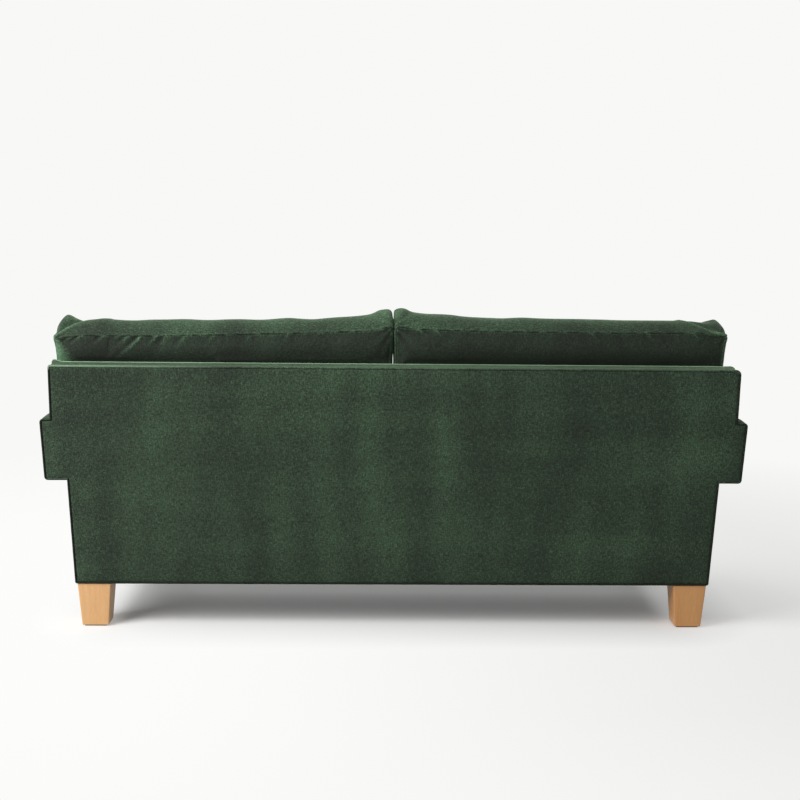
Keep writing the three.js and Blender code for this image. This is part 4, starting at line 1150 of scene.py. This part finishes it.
# At a seam the cloth is held: puckers grow to full height within the first reach, broad folds in the second.
sewn_reach = 0.004
broad_reach = 0.02
seat_bottom = seat_low.z
seat_columns = lines([seat_low.x + seat_side_swell, seat_high.x - seat_side_swell], seat_step)
seat_rows = lines([seat_low.y + seat_side_swell, seat_high.y - seat_side_swell], seat_step)
mask = np.ones((len(seat_rows) - 1, len(seat_columns) - 1), bool)
shares = lines([0, 1], seat_step / seat_edge_height, seam_steps / seat_edge_height)[1:-1]
for name, seed in (("left", 91), ("right", 101)):
    cut_u, cut_v = np.meshgrid(seat_columns, seat_rows)
    u, v = cut_u, cut_v
    corners = rectangle(seat_columns, seat_rows)
    inside = outline_distance(u, v, corners)
    for at, towards in zip(corners, ((-1, -1), (1, -1), (1, 1), (-1, 1))):
        u, v = round_corner(u, v, at, towards, seat_corner_radius)
    # The seams draw in most at the middle of each side: p and q run from -1 to 1 across the panel.
    p = (2 * u - seat_columns[0] - seat_columns[-1]) / (seat_columns[-1] - seat_columns[0])
    q = (2 * v - seat_rows[0] - seat_rows[-1]) / (seat_rows[-1] - seat_rows[0])
    u, v = u - seat_pull * p * (1 - q ** 2), v - seat_pull * q * (1 - p ** 2)
    top = seat_bottom + seat_edge_height + seat_crown * fullness(inside, seat_crown_reach)
    low = np.stack([u, v, np.full_like(u, seat_bottom)], -1)
    high = np.stack([u, v, top], -1)
    points, faces, outline, across = boxed_case(low, high, mask, shares, seat_side_swell)
    distance = np.concatenate([inside.ravel(), inside.ravel(), across])
    if name == "right":
        points, faces = mirrored(points, faces)
    case = add_piece("seat_cushion_case_" + name, points, faces, velvet, seam=seam_nearness(distance),
                     **cut_places(cut_u, cut_v, outline, shares))
    sign = 1 if name == "left" else -1

    def hold_seat(points, sign=sign):
        """Keeps the case on the deck, and clear of the arm, the inside back and the other cushion."""
        x = np.clip(sign * points[:, 0], case_gap, arm_inner - 2 * case_gap)
        z = np.maximum(points[:, 2], deck_level + cloth_gap)
        y = np.minimum(points[:, 1], back_y(z, inside_front + back_gap))
        return np.stack([sign * x, y, z], 1)

    def seat_folds(u, v, w, seed=seed, corners=corners):
        """Puckers along both seams of the boxing, slight waves on it and soft dents in the top. The puckers
        and dents get painted highlights where they rise and painted shade where they sink.
        """
        inside = outline_distance(u, v, corners)
        to_seam = np.where((w > 0) & (w < 1), np.minimum(w, 1 - w) * seat_edge_height, inside)
        around, up = u + v, w * seat_edge_height
        pucker = seat_pucker * drift(around, up, seat_pucker_length, seed)
        pucker = pucker * np.exp(-to_seam / seat_pucker_reach)
        wave = seat_wave * drift(around, up, seat_wave_length, seed + 1) * (w < 1)
        dent = seat_dent * drift(u, v, seat_dent_length, seed + 2) * (w > 1 - on_panel)
        dent = dent * fullness(inside, seat_dent_reach)
        height = pucker * fullness(to_seam, sewn_reach) + (wave + dent) * fullness(to_seam, broad_reach)
        shade = seat_seam_shade + seat_seam_uneven * drift(around, w, seat_stitch_length, seed + 3)
        return height, seat_pucker_shading * pucker + seat_dent_shading * dent, shade

    fill_case(case, seat_pressure, seat_shrink, seat_cap, hold_seat, seat_folds)
    upholster(case, "loose_seat_cushion_" + name, "seat_cushion_" + name)


# The loose back cushions: velvet cases full of feathers, L-shaped, with a boxing strip between two panels.
# They stand on the seat, lean on the back, and reach out over the arms. The filling puffs the strip up
# between its seams, the seams pucker, and the corners stand up as soft ears.
# Where a cushion stands, and the gaps between it and the seat, the back, the arm and the other cushion.
lean_gap = 0.0005
cushion_foot = seat_high.z + lean_gap
ear_gap = 0.004
ear_foot = arm_top + ear_gap
contact_x = 0.0075
contact_gap = 0.0004
arm_gap = 0.0125
arm_clearance = 0.003
over_arm_inset = 0.01
# The filling.
cushion_pressure = 3.0
cushion_shrink = 0.05
cushion_cap = 0.008
cushion_thickness = 0.125
panel_crown = 0.060
rear_swell = 0.010
free_level = 0.785
leant_margin = 0.007
cushion_step = 0.011
# The cut of the panels and of the strip between them.
crown_width = 0.20
rear_round = 0.007
rear_inner_round = (0.008, 0.016)
end_width = 0.06
end_spread = 0.003
edge_width = 0.03
slope_start = 0.86
slope_run = 0.70
slope_front_share = 0.3
drop_reach = 0.07
inner_tip_place = 0.014
inner_tip_width = 0.012
inner_bulge = 0.018
inner_slack_level = 0.770
inner_slack_run = 0.01
least_inner_bulge = 0.4
collapse_reach = 0.120
# The folds: pleats and puckers below the seams, the ridge and dent across the strip's outer corner with
# streaks of painted highlight beyond them, the fans at both top corners, and the waves.
pleat_height = 0.0045
pleat_width = 0.0050
valley_place = 0.012
valley_width = 0.0060
lip_height = 0.0012
lip_length = 0.014
lip_fade = 0.012
ridge_width = 0.006
ridge_run_out = 0.020
crease_end = 0.2
dent_place = 0.022
dent_width = 0.016
dent_at_end = 0.35
beyond_reach = 0.02
streak_width = 0.007
streak_slant = 0.3
fan_rays = 9
fan_inset = 0.004
fan_height = 0.0035
fan_reach = 0.022
inner_fan_rays = 11
inner_fan_inset = 0.01
inner_fan_flatness = 0.7
inner_fan_height = 0.0018
inner_fan_reach = 0.035
case_wave = 0.0028
case_wave_length = 0.075
case_dent = 0.0020
case_dent_length = 0.11
# How much painted highlight the strip and each fold get, or painted shade where it is subtracted.
boxing_highlight = 0.26
boxing_highlight_reach = 0.05
foot_shade = 0.07
foot_shade_reach = 0.085
fan_shading = 30
inner_fan_shading = 110
wave_shading = 30
lip_shading = 90
pleat_highlight = 1.4
valley_shade = 0.45
ridge_highlight = 1.3
beyond_shade = 0.22
streak_highlight = 0.25
most_painted_shade = -0.45
# The rear panel's lit outer end: its width at the top seam, and how far down it goes on widening.
lit_width = 0.008
lit_drop = 0.1
# How much of the seam's shade shows, and how uneven the stitching leaves it.
seam_shade = 0.82
seam_uneven = 0.30
stitch_length = 0.016


def bump_at(place, middle, width):
    """1 at the middle, falling off on both sides: exp(-((place - middle) / width) squared)."""
    return np.exp(-((place - middle) / width) ** 2)


def back_cushion(name, sign, shape, seed):
    """One back cushion, from its cut shape: u runs outwards along the back from the plane where the two
    cushions meet, v upwards from the seat, and t through the filling from the back's padding forwards."""
    notch = arm_inner - arm_gap - sign * contact_x
    width = shape["outer_x"] - sign * contact_x
    height = shape["rear_seam_z"] - cushion_foot
    ear = ear_foot - cushion_foot
    columns = lines([0, notch, width], cushion_step)
    rows = lines([0, ear, height], cushion_step)
    mask = (middles(columns) < notch) | (middles(rows)[:, None] > ear)
    u, v = np.meshgrid(columns, rows)
    corners = [(0, 0), (notch, 0), (notch, ear), (width, ear), (width, height), (0, height)]
    inside = outline_distance(u, v, corners)
    crown = fullness(inside, crown_width)
    rise = np.clip((v - ear) / (height - ear), 0, 1) ** 2
    rear_u, rear_v = round_corner(u, v, (width, height), (1, 1), rear_round)
    rear_u, rear_v = round_corner(rear_u, rear_v, (0, height), (-1, 1), rear_inner_round)
    front_u, front_v = round_corner(u, v, (width, height), (1, 1), shape["tip_radius"])
    front_u, front_v = round_corner(front_u, front_v, (0, height), (-1, 1), shape["inner_round"])
    near_end = np.clip(1 - (width - u) / end_width, 0, 1)
    foot_draw = shape["foot_draw"] * near_end * np.clip((height - v) / end_width, 0, 1)
    rear_u = rear_u + end_spread * rise * near_end - foot_draw
    front_u = front_u - shape["tip_draw"] * rise * near_end - foot_draw
    seam_slope = shape["seam_rise"] * np.clip((slope_start - u) / slope_run, 0, 1)
    seam_slope = seam_slope - shape["outer_drop"] * np.clip(1 - (width - u) / drop_reach, 0, 1)
    inner_ear = sum(size * np.exp(-u / reach) for size, reach in shape["inner_ear"])
    inner_ear = inner_ear + shape["inner_tip"] * bump_at(u, inner_tip_place, inner_tip_width)
    outer_ear = shape["outer_ear"] * np.clip(1 - (width - u) / shape["ear_reach"], 0, 1)
    free = np.clip((v + cushion_foot - free_level) / edge_width, 0, 1)
    rear_lift = seam_slope + shape["corner_lift"] * np.exp(-u / edge_width)
    front_lift = shape["front_rise"] + slope_front_share * seam_slope + inner_ear + outer_ear
    low = np.stack([rear_u, rear_v + rise * rear_lift, -rear_swell * crown * free], -1)
    high = np.stack([front_u, front_v + rise * front_lift, cushion_thickness + panel_crown * crown], -1)
    shares = lines([0, 1], cushion_step / cushion_thickness, seam_steps / cushion_thickness)[1:-1]
    outline = case_faces(mask, 0)[1]
    flat_u, flat_v = u.ravel()[outline], v.ravel()[outline]
    at_top = np.clip(1 - (height - flat_v) / edge_width, 0, 1)
    at_outer = np.clip(1 - (width - flat_u) / edge_width, 0, 1) * (1 - at_top)
    at_inner = np.clip(1 - flat_u / edge_width, 0, 1) * (1 - at_top)
    slack = (flat_v + cushion_foot - inner_slack_level) / inner_slack_run
    at_inner = at_inner * np.clip(slack, least_inner_bulge, 1)
    collapse = np.clip(1 - (width - flat_u) / collapse_reach, 0, 1)
    top_bulge = shape["top_bulge"] * at_top * (1 - shape["collapse"] * collapse)
    bulge = top_bulge + shape["side_bulge"] * at_outer + inner_bulge * at_inner
    points, faces, outline, across = boxed_case(low, high, mask, shares, bulge)
    distance = np.concatenate([inside.ravel(), inside.ravel(), across])
    z = points[:, 1] + cushion_foot
    depth = inside_front + lean_gap + points[:, 2]
    points = np.stack([contact_x * sign + points[:, 0], back_y(z, depth), z], 1)
    if sign < 0:
        points, faces = mirrored(points, faces)
    case = add_piece("back_cushion_case_" + name, points, faces, velvet, seam=seam_nearness(distance),
                     **cut_places(u, v, outline, shares))

    def hold_back(points):
        """Keeps the case off the seat, the back's padding, the arm and the other cushion."""
        x, y, z = sign * points[:, 0], points[:, 1], points[:, 2]
        x = np.maximum(x, sign * contact_x + contact_gap)
        over_arm = (x > arm_inner - arm_gap + over_arm_inset) & (z < ear_foot)
        z = np.where(over_arm, ear_foot, np.maximum(z, cushion_foot))
        x = np.where(z < ear_foot - 0.001, np.minimum(x, arm_inner - arm_clearance), x)
        leant = z < free_level - leant_margin
        y = np.where(leant, np.minimum(y, back_y(z, inside_front + lean_gap)), y)
        return np.stack([sign * x, y, z], 1)

    def back_folds(u, v, w):
        """Slanting pleats below the rear seam, each a ridge with a painted highlight and a valley with
        painted shade on its outer side; a ridge across the strip at the outer corner with a painted
        highlight, and a dent beyond it with painted shade and streaks of painted highlight; folds that fan
        out from both top corners; and soft waves. Fans, waves, and lips on the rear panel get painted
        highlights where they rise and painted shade where they sink. The rear panel gets painted shade, more
        towards its foot, and a painted highlight at its lit outer end. The strip gets a painted highlight
        that grows from the rear seam forwards."""
        rear, strip = w < on_panel, (w >= on_panel) & (w < 1 - on_panel)
        down, out = height - v, width - u
        along_strip = w * cushion_thickness
        to_seam = np.where(strip, np.minimum(w, 1 - w) * cushion_thickness, outline_distance(u, v, corners))
        top = strip * np.clip(1 - down / edge_width, 0, 1)
        raised, sunk = 0, 0
        for place, size, length, slant in shape["pleats"]:
            across = u - place - slant * down
            fading = size * np.exp(-(down / length) ** 2) * rear
            raised = raised + fading * bump_at(across, 0, pleat_width)
            sunk = sunk + fading * bump_at(across, valley_place, valley_width)
        lip = lip_height * drift(u, along_strip, lip_length, seed + 2) * np.exp(-to_seam / lip_fade)
        foot, rise, reach, power = shape["crease"]
        crease = along_strip - foot - rise * (np.clip(out, 0, crease_end) / reach) ** power
        near_end = np.clip((reach + ridge_run_out - out) / edge_width, 0, 1) * top
        ridge = bump_at(crease, 0, ridge_width) * near_end
        dent = bump_at(crease, dent_place, dent_width) * near_end
        dent = dent * (dent_at_end + (1 - dent_at_end) * np.clip(out / edge_width, 0, 1))
        beyond = np.clip(crease / beyond_reach, 0, 1) * near_end
        streaks = drift(out + streak_slant * along_strip, 0 * u, streak_width, seed + 12) * beyond
        fan_size = np.exp(-np.hypot(out, down) / fan_reach) * (rear | strip)
        bearing = np.arctan2(down + along_strip, out + fan_inset)
        fan = fan_height * np.cos(fan_rays * bearing) * fan_size
        inner_size = np.exp(-np.hypot(u - inner_fan_inset, inner_fan_flatness * down) / inner_fan_reach)
        bearing = np.arctan2(down + along_strip, u + inner_fan_inset)
        inner_fan = inner_fan_height * np.cos(inner_fan_rays * bearing) * inner_size * (rear | strip)
        wave = case_wave * drift(u, along_strip, case_wave_length, seed + 6) * top
        dents = case_dent * drift(u, v, case_dent_length, seed + 8) * (1 - top)
        dents = dents * (free_level < v + cushion_foot)
        fold = pleat_height * (raised - sunk) + lip + fan + inner_fan
        fold = fold + shape["ridge"] * ridge - shape["dent"] * dent
        move = fold * fullness(to_seam, sewn_reach) + (wave + dents) * fullness(to_seam, broad_reach)
        # Painted shade over the rear panel, more towards its foot, and a painted highlight at its lit outer
        # end.
        rear_shading = shape["rear_shade"] + foot_shade * np.clip(down / foot_shade_reach, 0, 1) ** 1.5
        lit_end = out / (lit_width + shape["lit_end"] * np.clip(down, 0, lit_drop))
        lit_end = np.clip(1 - lit_end, 0, 1) ** 1.3
        # A painted highlight on the strip, growing from the rear seam forwards.
        opened = boxing_highlight * np.clip(along_strip / boxing_highlight_reach, 0, 1) * top
        opened = opened + (shape["lit"] * lit_end - rear_shading) * rear
        # Painted highlights where the folds rise and painted shade where they sink.
        opened = opened + fan_shading * fan + inner_fan_shading * inner_fan + wave_shading * wave
        opened = opened + lip_shading * lip * rear + pleat_highlight * raised - valley_shade * sunk
        opened = opened + ridge_highlight * ridge - beyond_shade * beyond + streak_highlight * streaks
        shade = np.clip(seam_shade + seam_uneven * drift(u, 0 * u, stitch_length, seed + 11), 0, 1)
        return move, np.maximum(opened, most_painted_shade), shade

    fill_case(case, cushion_pressure, cushion_shrink, cushion_cap, hold_back, back_folds)
    upholster(case, "loose_back_cushion_" + name, "back_cushion_" + name)


# The two cut shapes. outer_x and rear_seam_z are the frame's x and z, and rises are above the straight seams.
# An inner ear is a list of (rise, reach), a pleat is (place, strength, length, slant), and the crease across
# the strip at its outer corner is (start, rise, reach, power).
# Each shape also sizes the painted highlight at its rear panel's outer end and the painted shade over it.
back_cushion("left", 1, {
    "outer_x": 0.961, "rear_seam_z": 0.850, "seam_rise": 0.020, "outer_drop": 0.010, "corner_lift": 0.016,
    "front_rise": 0.021, "top_bulge": 0.031, "side_bulge": 0.007,
    "inner_ear": [(0.037, 0.075), (0.012, 0.020)], "inner_tip": 0.0, "inner_round": (0.028, 0.050),
    "outer_ear": 0.033, "ear_reach": 0.071, "tip_radius": 0.008, "tip_draw": 0.009,
    "pleats": [(0.905, 0.5, 0.012, 1.6), (0.880, 0.6, 0.012, 1.6), (0.818, 0.9, 0.016, 1.1),
               (0.775, 0.4, 0.010, 1.1), (0.748, 0.7, 0.016, 1.1), (0.712, 1.2, 0.040, 1.0),
               (0.667, 0.5, 0.018, 1.0), (0.636, 0.5, 0.022, 0.8), (0.585, 0.35, 0.022, 0.8),
               (0.505, 0.35, 0.022, 0.8), (0.400, 0.2, 0.020, 0.8), (0.290, 0.25, 0.020, 0.8)],
    "crease": (0.012, 0.062, 0.080, 0.9), "ridge": 0.004, "dent": 0.010, "collapse": 0.79,
    "lit_end": 0.8, "lit": 2.7, "rear_shade": 0.28, "foot_draw": 0.0015,
}, 1)
back_cushion("right", -1, {
    "outer_x": 0.938, "rear_seam_z": 0.873, "seam_rise": 0.004, "outer_drop": 0.011, "corner_lift": 0.006,
    "front_rise": 0.012, "top_bulge": 0.027, "side_bulge": 0.015,
    "inner_ear": [(0.029, 0.150)], "inner_tip": 0.0095, "inner_round": (0.010, 0.022),
    "outer_ear": 0.020, "ear_reach": 0.060, "tip_radius": 0.012, "tip_draw": -0.002,
    "pleats": [(0.060, 0.6, 0.012, 1.6), (0.110, 0.3, 0.012, 1.2), (0.560, 0.25, 0.016, 0.8),
               (0.720, 0.3, 0.016, 0.9), (0.850, 0.4, 0.014, 1.2)],
    "crease": (0.005, 0.055, 0.106, 2.2), "ridge": 0.005, "dent": 0.007, "collapse": 0.72,
    "lit_end": 0.02, "lit": 0.5, "rear_shade": 0.30, "foot_draw": 0.003,
}, 2)


# The legs: square blocks of solid beech that taper to the foot, their edges rounded over and the wood
# lacquered clear. Each stands on a dark nylon glide and is screwed to a corner block by a hanger bolt.
beech_layers = [(0.0022, 0.30, 2.0, 0.7), (0.009, 0.60, 1.0, 0.4), (0.05, 0.5, 1.0, 0.4)]
beech_fleck = "#a9743f"
fleck_scale = (700, 700, 120)
fleck_band = (0.62, 0.72)
fleck_share = 0.2


def add_beech(name, deep, pale):
    """Beech under satin lacquer: even, with fine straight grain between two tones and short dark flecks,
    drawn about 1.5 mm wide and 8 mm long so that they show."""
    beech, tree, shader = new_material(name)
    where = add_node(tree, "ShaderNodeTexCoord").outputs["Object"]
    grain = summed_noise(tree, where, beech_layers)
    tone = add_node(tree, "ShaderNodeMix", [("Factor", grain)], data_type="RGBA",
                    A=linear(deep), B=linear(pale))
    fleck = add_node(tree, "ShaderNodeMapping", [("Vector", where)], Scale=fleck_scale)
    fleck = add_node(tree, "ShaderNodeTexNoise", [("Vector", fleck.outputs[0])], Scale=1.0, Detail=1.0)
    fleck = mapped(tree, fleck.outputs["Fac"], fleck_band, (0, fleck_share))
    tone = add_node(tree, "ShaderNodeMix", [("Factor", fleck), ("A", tone.outputs["Result"])],
                    data_type="RGBA", B=linear(beech_fleck))
    tree.links.new(tone.outputs["Result"], shader.inputs["Base Color"])
    bump = add_node(tree, "ShaderNodeBump", [("Height", grain)], Strength=0.15, Distance=0.0003)
    tree.links.new(bump.outputs[0], shader.inputs["Normal"])
    shader.inputs["Roughness"].default_value = 0.42
    shader.inputs["Coat Weight"].default_value = 0.15
    shader.inputs["Coat Roughness"].default_value = 0.3
    return beech


beech = add_beech("lacquered_beech", "#cb965d", "#e6bb88")
# Painted shade: the rear right leg, furthest from the window lamp, gets a darker, redder copy of the beech.
shaded_beech = add_beech("lacquered_beech_painted_shade", "#bd8146", "#d6a169")

foot_share = 76 / 96
edge_round = 0.0035
foot_round = 0.0015
leg_rows = 13
for corner in ("front_left", "front_right", "rear_left", "rear_right"):
    leg_low, leg_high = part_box("leg_" + corner)
    centre = (leg_low + leg_high) / 2
    half = (leg_high.x - leg_low.x) / 2
    square = [(-half, -half, edge_round), (half, -half, edge_round), (half, half, edge_round),
              (-half, half, edge_round)]
    ring = rounded(square, half / 4) / half
    angle = np.linspace(0, np.pi / 2, 5)
    inset = [foot_round * (1 - np.sin(angle)), np.zeros(leg_rows), foot_round * (1 - np.cos(angle))]
    levels = np.concatenate([leg_low.z + foot_round * (1 - np.cos(angle)),
                             np.linspace(leg_low.z + 2 * foot_round, leg_high.z - 2 * foot_round, leg_rows),
                             leg_high.z - foot_round * (1 - np.sin(angle))])
    reach = half * (foot_share + (1 - foot_share) * (levels - leg_low.z) / (leg_high.z - leg_low.z))
    reach = reach - np.concatenate(inset)
    points = np.concatenate([ring * reach[:, None, None] + (centre.x, centre.y),
                             np.broadcast_to(levels[:, None, None], (len(levels), len(ring), 1))], -1)
    row, place = np.meshgrid(np.arange(len(levels) - 1), np.arange(len(ring)), indexing="ij")
    a, b = (row * len(ring) + place).ravel(), (row * len(ring) + (place + 1) % len(ring)).ravel()
    sides = np.stack([a, b, b + len(ring), a + len(ring)], 1)
    last = (len(levels) - 1) * len(ring)
    caps = [np.arange(len(ring))[::-1].tolist(), (last + np.arange(len(ring))).tolist()]
    mesh = bpy.data.meshes.new("leg_block_" + corner)
    mesh.from_pydata(points.reshape(-1, 3).tolist(), [], sides.tolist() + caps)
    mesh.shade_smooth()
    mesh.materials.append(shaded_beech if corner == "rear_right" else beech)
    leg = bpy.data.objects.new("leg_block_" + corner, mesh)
    scene.collection.objects.link(leg)
    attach(leg, "sofa_frame")
    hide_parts("leg_" + corner)


# The dust cover: thin black nonwoven cloth, folded in at its edges and stapled under the rails, with a
# notch round each leg. Spunbond polypropylene: matt black, with a faint pressed pattern of points, drawn
# at 4 mm so that it shows.
nonwoven_layers = [(0.004, 0.004, 2.0, 0.7), (0.10, 0.10, 2.0, 0.4)]
nonwoven, shader = two_toned("black_nonwoven_cloth", "#141414", "#2b2b2c", nonwoven_layers,
                             raised=(0.4, 0.0004), roughness=0.85)
shader.inputs["Specular IOR Level"].default_value = 0.2

dust_low, dust_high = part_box("dust_cover")
leg_low, leg_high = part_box("leg_front_left")
rear_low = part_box("leg_rear_left")[0]
dust_step = 0.02
notch_gap = 0.0008
rail_gap = 0.0008
cloth_thickness = 0.0006
stapled_edge = 0.03
sag = 0.006
sag_reach = 0.4
columns = lines([0, leg_low.x - notch_gap, dust_high.x], dust_step)
columns = np.concatenate([-columns[:0:-1], columns])
rows = lines([dust_low.y, leg_high.y + notch_gap, rear_low.y - notch_gap, dust_high.y], dust_step)
beyond = np.abs(middles(columns)) > leg_low.x - notch_gap
at_legs = (middles(rows) < leg_high.y + notch_gap) | (middles(rows) > rear_low.y - notch_gap)
mask = ~(beyond[None, :] & at_legs[:, None])
u, v = np.meshgrid(columns, rows)
inside = outline_distance(u, v, rectangle(columns, rows))
hanging = fullness(inside - stapled_edge, sag_reach) * (inside > stapled_edge)
face = dust_high.z - rail_gap - sag * hanging
low = np.stack([u, v, face - cloth_thickness], -1)
high = np.stack([u, v, face], -1)
points, faces, outline, across = boxed_case(low, high, mask, [0.5], 0)
dust_cover = add_piece("dust_cover_cloth", points, faces, nonwoven)
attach(dust_cover, "sofa_frame")
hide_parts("dust_cover")


# The frame inside and the hardware: rails and posts of planed softwood, panels and boards of birch plywood,
# springs and bolts of steel, jute webbing and nylon glides. Their shapes are the model's own solids.
def along_boards(name, dark, light, layers, roughness):
    """A bare wood three times over, with its grain along x, y and z, for boards that run that way."""
    quarter_turn = math.pi / 2
    turns = {"x": (0, quarter_turn, 0), "y": (quarter_turn, 0, 0), "z": (0, 0, 0)}
    raised = (0.3, 0.0004)
    return [two_toned(name + "_" + axis, dark, light, layers, raised, roughness, turn)[0]
            for axis, turn in turns.items()]


# Planed spruce: pale, with a growth ring pattern of 4 mm and slow streaks along the board, unfinished.
spruce_layers = [(0.004, 0.25, 1.0, 0.9), (0.020, 0.60, 2.0, 0.7)]
timbers = along_boards("planed_spruce", "#c79a5e", "#edd3a2", spruce_layers, roughness=0.7)
# Birch plywood: very pale face veneer with a soft, cloudy figure and fine straight pores, unfinished.
birch_layers = [(0.0015, 0.05, 1.0, 0.4), (0.030, 0.20, 3.0, 0.7)]
plywoods = along_boards("birch_plywood", "#c9a572", "#ead2a6", birch_layers, roughness=0.65)

# Spring steel: drawn wire, oil tempered to a dark grey brown, with faint drawing lines and a dull shine.
steel_layers = [(0.002, 0.002, 2.0, 0.6), (0.03, 0.03, 2.0, 0.6)]
spring_steel, shader = two_toned("oil_tempered_steel", "#4a4643", "#77726c", steel_layers,
                                 raised=(0, 0.0001), roughness=0.42)
shader.inputs["Metallic"].default_value = 0.9

# Jute webbing: coarse plain weave, its brown yarns drawn 5 mm wide, with hairy, uneven fibres.
jute, tree, shader = new_material("woven_jute")
# At this scale a band of the wave repeats every 5 mm.
yarn_scale = 63.0
fibre_layers = [(0.0015, 0.0015, 3.0, 0.8), (0.04, 0.04, 1.0, 0.5)]
where = add_node(tree, "ShaderNodeTexCoord").outputs["Object"]
warp, weft = (add_node(tree, "ShaderNodeTexWave", [("Vector", where)], bands_direction=axis,
                       Scale=yarn_scale, Distortion=0.6) for axis in "XZ")
weave = maths(tree, "MULTIPLY", warp.outputs["Fac"], weft.outputs["Fac"])
fibres = summed_noise(tree, where, fibre_layers)
shade = maths(tree, "MULTIPLY_ADD", weave, 0.5, fibres)
tone = add_node(tree, "ShaderNodeMix", [("Factor", shade)], data_type="RGBA",
                A=linear("#7d6238"), B=linear("#c8ab76"))
tree.links.new(tone.outputs["Result"], shader.inputs["Base Color"])
bump = add_node(tree, "ShaderNodeBump", [("Height", weave)], Strength=0.7, Distance=0.0008)
tree.links.new(bump.outputs[0], shader.inputs["Normal"])
shader.inputs["Roughness"].default_value = 0.95
shader.inputs["Specular IOR Level"].default_value = 0.1

# Moulded nylon: near black brown, with a fine cloudy grain from the mould and light wear on its edges.
nylon_layers = [(0.0012, 0.0012, 2.0, 0.7), (0.02, 0.02, 2.0, 0.4)]
nylon, shader = two_toned("moulded_nylon", "#1c1714", "#342c27", nylon_layers,
                          raised=(0.3, 0.0002), roughness=0.55)

finishes = {"beech": [beech] * 3, "frame_timber": timbers, "plywood": plywoods,
            "spring_steel": [spring_steel] * 3, "jute": [jute] * 3, "nylon": [nylon] * 3}
slots = {subpart["node"]: subpart["material_slot"] for subpart in frame["record"]["subparts"]}
for name, node in nodes.items():
    if slots[name] in finishes:
        low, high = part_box(name)
        node.data.materials.clear()
        node.data.materials.append(finishes[slots[name]][int(np.argmax(high - low))])
